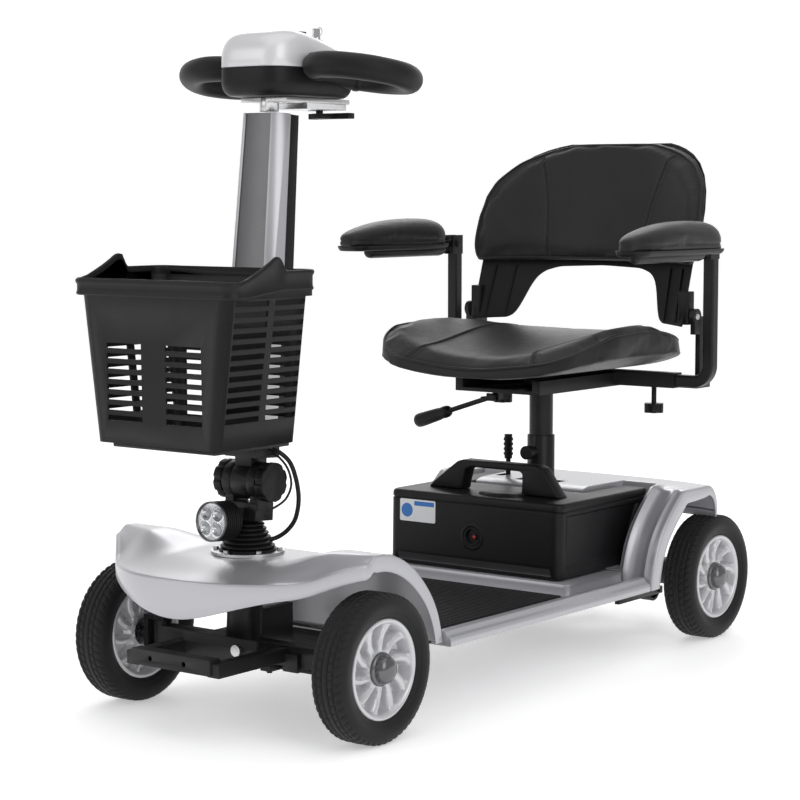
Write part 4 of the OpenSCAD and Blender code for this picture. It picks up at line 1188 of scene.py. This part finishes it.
# ------------------------------------------------------------------ basket
LIP_FRONT, LIP_BACK, BASKET_W, RIM_Z = -628.5, -460.0, 280.0, 607.0
HUMP = [(LIP_FRONT + 14, -1), (LIP_FRONT + 30, 3), (LIP_FRONT + 45, 9.5), (LIP_FRONT + 60, 16.5),
        (LIP_FRONT + 72, 23), (LIP_FRONT + 80, 28), (LIP_FRONT + 86, 30), (LIP_FRONT + 92, 29),
        (LIP_FRONT + 97, 22), (LIP_FRONT + 101, 14), (LIP_FRONT + 106, 12), (LIP_BACK, 12)]


def basket():
    bm = bmesh.new()
    bm.from_mesh(NODES["basket"].data)
    bmesh.ops.remove_doubles(bm, verts=bm.verts, dist=1e-5)
    me = bpy.data.meshes.new("basket_tub")
    bm.to_mesh(me)
    bm.free()
    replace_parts(place("basket_tub", me, "basket", "basket", "basket_black"), "basket")
    mid_y = (LIP_FRONT + LIP_BACK) / 2
    half_x, half_y = BASKET_W / 2, (LIP_BACK - LIP_FRONT) / 2
    plan = resample(round_corners(rect(-half_x, half_x, mid_y - half_y, mid_y + half_y), [18] * 4, 10), 3)
    n = len(plan)
    verts = []
    for i, p in enumerate(plan):
        t = (plan[(i + 1) % n] - plan[i - 1]).normalized()
        out = Vector((t.y, -t.x))
        rise = along(HUMP, p.y)
        if p.y > LIP_BACK - 20:
            rise = 12 - 4 * smooth01((110 - abs(p.x)) / 60)
        zr = RIM_Z + rise
        zl = RIM_Z - 22 + along([(LIP_FRONT + 30, 0), (LIP_FRONT + 70, 5), (LIP_FRONT + 100, 8)], p.y)
        prof = [(-3.0, zl + 1), (0.2, zl - 0.6), (1.6, zl + 0.4), (2.0, zl + 2.4), (1.2, zl + 4.2),
                (0.7, zl + 6), (0.7, zr - 7.5), (2.0, zr - 6), (2.9, zr - 3.6), (2.6, zr - 1.4), (1.4, zr),
                (-0.6, zr + 0.2), (-2.4, zr - 0.8), (-3.2, zr - 3), (-3.0, zr - 8)]
        verts += [at(p.x + out.x * a, p.y + out.y * a, z) for a, z in prof]
    add("basket_rim", verts, grid_faces(n, len(prof), True, True), "basket", "basket", "basket_black", sharp=55)


basket()


# ------------------------------------------------------------------ cushions
# metres: a seam's width, depth and shoulder, and how far its stitches run beside it
SEAM, STITCH_OFF = (0.0022, 0.0034, 0.0007), 0.0042


def puff(ob, voxel, cap, rest, rest_cap=0.0015, pressure=4.0, frames=20, relax=3):
    """Remeshes a cushion, fills it under cloth simulation, and leaves the side that rests flat."""
    modify(ob, "REMESH", mode="VOXEL", voxel_size=voxel)
    settle(ob)
    start = [(v.co.copy(), v.normal.copy()) for v in ob.data.vertices]
    cloth = modify(ob, "CLOTH")
    s = cloth.settings
    s.quality = 5
    s.mass = 0.3
    s.tension_stiffness = s.compression_stiffness = 18
    s.shear_stiffness = 6
    s.bending_stiffness = 0.8
    s.use_pressure = True
    s.uniform_pressure_force = pressure
    s.effector_weights.gravity = 0
    cloth.point_cache.frame_start = 1
    cloth.point_cache.frame_end = frames
    for frame_no in range(1, frames + 1):
        bpy.context.scene.frame_set(frame_no)
    moved = ob.evaluated_get(bpy.context.evaluated_depsgraph_get())
    ends = [v.co.copy() for v in moved.data.vertices]
    ob.modifiers.clear()
    for v, (a, n), b in zip(ob.data.vertices, start, ends):
        d = b - a
        limit = mix(cap, rest_cap, smooth01((n.dot(rest) + 0.1) / 0.6))
        v.co = a + d * min(1, limit / max(d.length, 1e-9))
    bpy.context.scene.frame_set(1)
    bm = bmesh.new()
    bm.from_mesh(ob.data)
    for _ in range(relax):
        bmesh.ops.smooth_vert(bm, verts=bm.verts, factor=0.5, use_axis_x=True, use_axis_y=True,
                              use_axis_z=True)
    bm.to_mesh(ob.data)
    bm.free()
    modify(ob, "SUBSURF", levels=1, render_levels=1)
    settle(ob)
    ob.data.shade_smooth()
    return ob


def surface(ob):
    me = ob.data
    return BVHTree.FromPolygons([v.co for v in me.vertices], [p.vertices for p in me.polygons])


def lay(tree, path, lift=0.0):
    """The path's points moved to the nearest places on a surface."""
    out = []
    for p in path:
        co, n, _, _ = tree.find_nearest(p)
        out.append(co + n * lift)
    return out


def groove(ob, paths, width, depth, shoulder=0.0):
    pts = [p for path in paths for a, b in zip(path, path[1:])
           for p in (a.lerp(b, k / 4) for k in range(4))]
    kd = KDTree(len(pts))
    for i, p in enumerate(pts):
        kd.insert(p, i)
    kd.balance()
    moves = []
    for v in ob.data.vertices:
        _, _, d = kd.find(v.co)
        if d < width * 5:
            deep = depth * gauss(d, width) - shoulder * gauss(d - 2.2 * width, width)
            moves.append((v, v.normal.copy(), deep))
    for v, n, d in moves:
        v.co -= n * d


def beside(paths, up):
    """Two lines along each path, one on either side of it."""
    return [[a + (b - a).normalized().cross(up).normalized() * off for a, b in zip(path, path[1:])]
            for path in paths for off in (-STITCH_OFF, STITCH_OFF)]


def stitches(name, tree, paths, body, spacing=0.0046, length=0.0031, r=0.00042):
    verts, faces = [], []
    for path in paths:
        gap = 0.0
        for a, b in zip(path, path[1:]):
            seg = (b - a).length
            while gap < seg:
                p = a.lerp(b, gap / seg)
                co, n, _, _ = tree.find_nearest(p)
                t = (b - a).normalized()
                u = t.cross(n).normalized()
                base = len(verts)
                for s, grow, up in ((-0.5, 0.15, -0.2), (-0.3, 1, 0.3), (0.3, 1, 0.3), (0.5, 0.15, -0.2)):
                    for k in range(6):
                        a6 = math.pi / 3 * k
                        verts.append(co + t * length * s + n * r * up
                                     + (u * math.cos(a6) + n * math.sin(a6)) * r * grow)
                faces += [tuple(base + i for i in quad) for quad in grid_faces(4, 6, False, True)]
                faces.append(tuple(base + k for k in range(6)))
                faces.append(tuple(base + 18 + k for k in reversed(range(6))))
                gap += spacing
            gap -= seg
    add(name, verts, faces, "thread", body, "seat_leather", sharp=60)


def piping(name, tree, path, body, r=0.0023, closed=True, lift=0.0004):
    pts = lay(tree, path, lift)
    for _ in range(6):
        last = len(pts)
        pts = [(pts[i - 1] + pts[i] * 2 + pts[(i + 1) % last]) / 4 if closed or 0 < i < last - 1 else pts[i]
               for i in range(last)]
    v, f = sweep(pts, circle(r, 10), closed=closed, up=Vector((0.02, 0.31, 0.95)))
    add(name, v, f, "leather", body, "seat_leather", sharp=60)


SEAT_Z, SEAT_HALF = 433.0, 215.0


def seat_reach(y):
    knots = [(62, 0.62), (66, 0.69), (72, 0.765), (80, 0.83), (90, 0.88), (104, 0.925), (120, 0.962),
             (140, 0.987), (165, 1), (280, 1), (330, 0.995), (352, 0.982), (372, 0.955), (390, 0.915),
             (404, 0.87), (415, 0.81), (423, 0.73), (428, 0.62)]
    return SEAT_HALF * along(knots, y)


def wing(y):
    return sum(along([(62, 0.5), (110, 0.75), (165, 1), (270, 1), (350, 0.78), (428, 0.4)], y + d)
               for d in (-24, -12, 0, 12, 24)) / 5


def seat_rise(y):
    return 28 * smooth01((y - 110) / 260)


def seat_high(x, y):
    return (SEAT_Z + 26 + seat_rise(y) + (60 * wing(y) - seat_rise(y)) * (abs(x) / SEAT_HALF) ** 1.9
            - 10 * clamp01((110 - y) / 50) ** 2)


def seat_low(x):
    return SEAT_Z + 29 * (abs(x) / 200) ** 2.6


def seat_cushion():
    ys = [62.5 + 2.5 * k for k in range(5)] + [75 + 7.0 * k for k in range(49)] + [417, 421, 424.5, 427]
    ys = sorted(y for y in ys if y <= 427)
    nx = 30
    top, low = [], []
    for i in range(-nx, nx + 1):
        s = i / nx
        top.append([at(s * seat_reach(y) * 0.985, y, seat_high(s * seat_reach(y), y) - 3.5 * abs(s) ** 6)
                    for y in ys])
        low.append([at(s * seat_reach(y) * 0.985, y,
                       min(seat_low(s * seat_reach(y)) + 1.0, seat_high(s * seat_reach(y), y) - 13))
                    for y in ys])
    v, f = shell(top, low)
    ob = add("seat_pad", v, f, "leather", "seat", "seat_leather", sharp=180)
    puff(ob, 0.005, 0.008, Vector((0, 0, -1)))
    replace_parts(ob, "seat_cushion")
    tree = surface(ob)

    seams = []
    for side in (1, -1):
        pts = [(119, 66), (112, 84), (107, 104), (105, 130), (106, 160), (110, 200), (115, 250), (120, 300),
               (124, 350), (126, 395), (126, 420)]
        line = spline([at(side * x, y, seat_high(x, y) + 3) for x, y in pts], 8)
        seams.append(lay(tree, line))
    # line across the front where the top panel meets the band, and round both wings
    edge = []
    for k in range(0, 61):
        s = -1 + 2 * k / 60
        edge.append(at(s * seat_reach(64) * 0.99, 64, seat_high(s * seat_reach(64), 64) + 1))
    right = [at(seat_reach(y), y, seat_high(seat_reach(y), y) - 1) for y in range(68, 426, 6)]
    back = [at(s * seat_reach(427), 427, seat_high(s * seat_reach(427), 427) - 1)
            for s in [1 - k / 12 for k in range(1, 24)]]
    left = [at(-seat_reach(y), y, seat_high(seat_reach(y), y) - 1) for y in range(424, 66, -6)]
    rim = edge + right + back + left
    groove(ob, seams, *SEAM)
    tree = surface(ob)
    piping("seat_piping", tree, rim, "seat")
    stitches("seat_stitches", tree, beside(seams, Vector((0, 0, 1))), "seat")
    # seam round the foot of the front band
    low_rim = [at(s * seat_reach(70), 66, seat_low(s * seat_reach(70)) + 2.5)
               for s in [-0.96 + 1.92 * k / 60 for k in range(61)]]
    piping("seat_base_welt", tree, low_rim, "seat", r=0.0015, closed=False)


seat_cushion()

LAP_LOW, LAP_TOP, LAP_HALF, LAP_DISH = 601.0, 804.0, 220.0, 72.0
LAP_LEAN = math.tan(rad(18))


def lap_half(z):
    knee = LAP_LOW + 50
    if z < knee:
        return mix(212, LAP_HALF, math.sin(math.pi / 2 * (z - LAP_LOW) / 50))
    return LAP_HALF * max(0.0, 1 - ((z - knee) / (LAP_TOP - knee + 0.5)) ** 2.9) ** (1 / 2.9)


def lap_y(x, z):
    return 360 + (z - LAP_LOW) * LAP_LEAN + LAP_DISH * (1 - (x / LAP_HALF) ** 2)


def back_cushion():
    zs = [LAP_LOW + 1.5, LAP_LOW + 4] + [LAP_LOW + 8 + 7 * k for k in range(24)]
    zs += [774, 780, 786, 791, 795, 798.5, 801, 802.6]
    nx = 34
    front, rear = [], []
    for i in range(-nx, nx + 1):
        s = i / nx
        f_row, r_row = [], []
        for z in zs:
            x = s * lap_half(z) * 0.985
            f_row.append(at(x, lap_y(x, z) + 3 + 4 * abs(s) ** 8, z))
            r_row.append(at(x, lap_y(x, z) + 26 - 1.5 * abs(s) ** 8, z))
        front.append(f_row)
        rear.append(r_row)
    v, f = shell(front, rear)
    ob = add("back_pad", v, f, "leather", "backrest", "seat_leather", sharp=180)
    puff(ob, 0.005, 0.008, Vector((0, 1, -0.3)).normalized())
    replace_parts(ob, "backrest_cushion")
    tree = surface(ob)
    seams = []
    for side in (1, -1):
        pts = [(88, 604), (90, 620), (94, 650), (100, 690), (109, 730), (120, 765), (131, 790)]
        line = spline([at(side * x, lap_y(x, z) - 6, z) for x, z in pts], 8)
        seams.append(lay(tree, line))
    groove(ob, seams, *SEAM)
    tree = surface(ob)
    outline = []
    steps = 60
    for k in range(steps + 1):
        z = LAP_LOW + 3 + (LAP_TOP - 3.5 - LAP_LOW) * math.sin(math.pi / 2 * k / steps)
        outline.append((lap_half(z) * 0.995, z))
    rim = [at(x, lap_y(x, z) + 4, z) for x, z in outline]
    rim += [at(-x, lap_y(x, z) + 4, z) for x, z in reversed(outline)]
    rim += [at(x, lap_y(x, LAP_LOW + 2) + 4, LAP_LOW + 2) for x in range(-204, 205, 8)]
    piping("back_piping", tree, rim, "backrest")
    stitches("back_stitches", tree, beside(seams, Vector((0, 1, 0))), "backrest")


back_cushion()


def back_shell():
    raw = [(0, 597), (80, 594), (106, 586), (122, 568), (130, 540), (134, 524), (146, 509), (203, 506)]

    def arch(x):
        return sum(along(raw, abs(x + d)) for d in range(-8, 9, 2)) / 9

    nx = 54
    front, rear = [], []
    for i in range(-nx, nx + 1):
        s = i / nx
        x0 = s * 203
        low = arch(x0)
        rows = [mix(low, LAP_LOW, k / 12) for k in range(12)]
        f_row = [at(x0, lap_y(x0, z) + 27.4, z) for z in rows]
        r_row = [at(x0, lap_y(x0, z) + 30.9, z) for z in rows]
        for z in [601, 603, 606, 612, 620, 630, 651, 690, 720, 745, 765, 780, 789, 795, 799]:
            x = s * mix(203, lap_half(z) * 0.965, smooth01((z - 601) / 18))
            f_row.append(at(x, lap_y(x, z) + 27.4, z))
            r_row.append(at(x, lap_y(x, z) + 30.9, z))
        front.append(f_row)
        rear.append(r_row)
    v, f = shell(front, rear)
    ob = add("back_shell", v, f, "trim", "backrest", "trim_black", sharp=40)
    bevelled(ob, 0.0012, 2, 40)
    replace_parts(ob, "backrest_frame")
    # ribs that stiffen both legs, hinge blocks and pins
    for side in (1, -1):
        tag = hand(side)
        rings = []
        for z in (509, 562):
            box = round_corners(rect(192, 211, 375, 395), [3] * 4, 4)
            rings.append([at(side * p.x, p.y, z) for p in box])
        v, f = ring_solid(rings)
        hinge = add("back_hinge_" + tag, v, f, "trim", "backrest", "trim_black", sharp=40)
        bevelled(hinge, 0.0016, 2, 40)
        pin = [(0.0001, 0.0175), (0.0042, 0.0175), (0.005, 0.0165), (0.005, -0.005), (0.0001, -0.005)]
        v, f = lathe(pin, 24, Vector((0, 0, 0)), "x")
        c = at(side * 206, 385, 522)
        add("back_pin_" + tag, [c + Vector((side * p.x, p.y, p.z)) for p in v], f, "steel", "backrest",
            "steel", sharp=40)
        for x0 in (150, 180):
            steps = [(k / 8, mix(512, 596, k / 8)) for k in range(9)]
            path = [at(side * mix(x0 + 4, x0, s), lap_y(x0, z) + 26.0, z) for s, z in steps]
            v, f = sweep(path, [(-0.0014, -0.0012), (0.0014, -0.0012), (0.0010, 0.0024), (-0.0010, 0.0024)],
                         up=Vector((0, -1, 0.05)))
            add("back_rib_%s_%d" % (tag, x0), v, f, "trim", "backrest", "trim_black", sharp=40)


back_shell()


def pad_half(v):
    """Half the arm pad's width at v, from -1 at its front to 1 at its back."""
    return 31.5 * max(0.02, 1 - abs(v) ** (3.0 if v < 0 else 9)) ** (1 / 2.6)


def arm_pads():
    for side in (1, -1):
        tag = hand(side)
        node, body = "arm_pad_" + tag, "pad_l" if side > 0 else "pad_r"
        centre_x, y0, y1, z0 = 263, 97, 351, 631
        top, low = [], []
        nu, nv = 12, 40
        for i in range(-nu, nu + 1):
            t_row, l_row = [], []
            for j in range(nv + 1):
                v = -1 + 2 * j / nv
                v = math.copysign(abs(math.sin(v * math.pi / 2)) ** 0.9, v)
                half = pad_half(v)
                u = math.sin(math.pi / 2 * i / nu)
                x = centre_x + u * half
                y = mix(y0, y1, (v + 1) / 2)
                crown = mix(0.72, 1.0, smooth01((v + 1.1) / 1.5))
                end = max(0, 1 - abs(v) ** 2.3) ** 0.6 if v < 0 else max(0, 1 - v ** 6) ** 0.42
                h = 13 + 30 * crown * max(0, 1 - abs(u) ** 2.6) ** 0.5 * end
                t_row.append(at(side * x, y, z0 + h))
                l_row.append(at(side * x, y, z0))
            top.append(t_row)
            low.append(l_row)
        v, f = shell(top, low)
        ob = add("pad_" + tag, v, f, "leather", body, "seat_leather", sharp=180)
        puff(ob, 0.004, 0.004, Vector((0, 0, -1)), relax=2)
        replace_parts(ob, node)
        tree = surface(ob)
        rim = []
        for a in angles(90):
            c, s = math.cos(a), math.sin(a)
            v = math.copysign(abs(s) ** 0.6, s)
            across = math.copysign(abs(c) ** 0.6, c) * pad_half(v)
            rim.append(at(side * (centre_x + across), mix(y0, y1, (v + 1) / 2), z0 + 9))
        groove(ob, [lay(tree, rim)], 0.0018, 0.0016)
        # moulded base under the upholstery
        rings = []
        for z, inset in ((623.4, 7), (624.0, 4.5), (626, 2.6), (629, 1.2), (632, 0.6)):
            out = round_corners(rect(-30 + inset, 30 - inset, y0 + 4 + inset, y1 - 1 - inset),
                                [24 - inset, 24 - inset, 10, 10], 8)
            rings.append([at(side * (centre_x + p.x), p.y, z) for p in out])
        v, f = ring_solid(rings)
        add("pad_base_" + tag, v, f, "trim", body, "trim_black", sharp=40)
        tube = [(140, 4.0), (141, 7.0), (144, 9.0), (149, 10.0), (334, 10.0), (342, 8.5), (348, 6.0)]
        rings = [[at(side * 250 + r * math.cos(math.pi * k / 12), y, 621.5 + r * math.sin(math.pi * k / 12))
                  for k in range(24)] for y, r in tube]
        v, f = ring_solid(rings)
        add("pad_bar_" + tag, v, f, "frame", body, "frame_black", sharp=40)
        rings = []
        for y, h in ((356, 5), (360, 7), (384, 8), (390, 7.5), (394, 5)):
            sec = round_corners(rect(-4.6, 4.6, 632 - h, 632 + h * 0.8), [1.6] * 4, 3)
            rings.append([at(side * (250 + p.x), y, p.y) for p in sec])
        v, f = ring_solid(rings)
        add("pad_lug_" + tag, v, f, "frame", body, "frame_black", sharp=40)
        pin = [(0.0001, 0.0150), (0.0052, 0.0148), (0.0062, 0.0136), (0.0062, 0.0118), (0.004, 0.0116),
               (0.004, -0.0116), (0.0062, -0.0118), (0.0062, -0.0136), (0.0001, -0.0150)]
        v, f = lathe(pin, 20, Vector((0, 0, 0)), "x")
        c = at(side * 250, 376, 632)
        add("pad_pin_" + tag, [c + p for p in v], f, "frame", body, "frame_black",
            sharp=40)


arm_pads()
for node_name, mat_name, width in (("throttle_lever", "trim", 0.0020), ("arm_knob_left", "trim", 0.0012),
                                   ("arm_knob_right", "trim", 0.0012), ("swivel_lever", "trim", 0.0014),
                                   ("seat_tube", "frame", 0.0010), ("basket_bracket", "frame", 0.0014)):
    rounded(node_name, mat_name, width, 2, 30)


def lever_grip():
    root, way = at(-50, 200, 397 - 5), Vector((-math.sin(rad(108)), 0, math.cos(rad(108))))
    rings = []
    side, lift = Vector((0, 1, 0)), way.cross(Vector((0, 1, 0)))
    for z, r in ((80, 5), (82, 8), (86, 9.6), (92, 10), (98, 9.2), (104, 10.2), (128, 11.2), (142, 11.6),
                 (148, 10.8), (151, 8.2), (152, 4)):
        rings.append([root + way * z / 1000 + (side * math.cos(a) + lift * math.sin(a)) * r / 1000
                      for a in [math.pi * k / 14 for k in range(28)]])
    v, f = ring_solid(rings)
    add("lever_grip", v, f, "trim", "swivel_lever", "trim_black", sharp=50)


lever_grip()


# ------------------------------------------------------------------ studio floor
def studio_floor():
    verts = []
    profile = [(-9, 0), (5.2, 0)] + [(5.2 + 1.6 * math.sin(rad(a)), 1.6 * (1 - math.cos(rad(a))))
                                     for a in range(10, 91, 10)] + [(6.8, 6)]
    turn = Matrix.Rotation(rad(CAMERA_TURN), 3, "Z")
    for y, z in profile:
        verts += [turn @ Vector((-9, y, z)), turn @ Vector((9, y, z))]
    faces = [(2 * k, 2 * k + 1, 2 * k + 3, 2 * k + 2) for k in range(len(profile) - 1)]
    me = bpy.data.meshes.new("studio_floor")
    me.from_pydata([tuple(v) for v in verts], [], faces)
    me.shade_smooth()
    ob = bpy.data.objects.new("studio_floor", me)
    paper = shader("paper", (0.93, 0.93, 0.93), 0.6, mottle=(4, 0.01))
    bsdf = paper.node_tree.nodes["Principled BSDF"]
    bsdf.inputs["Emission Color"].default_value = (1, 1, 1, 1)
    bsdf.inputs["Emission Strength"].default_value = 0.40
    me.materials.append(paper)
    bpy.context.scene.collection.objects.link(ob)


studio_floor()
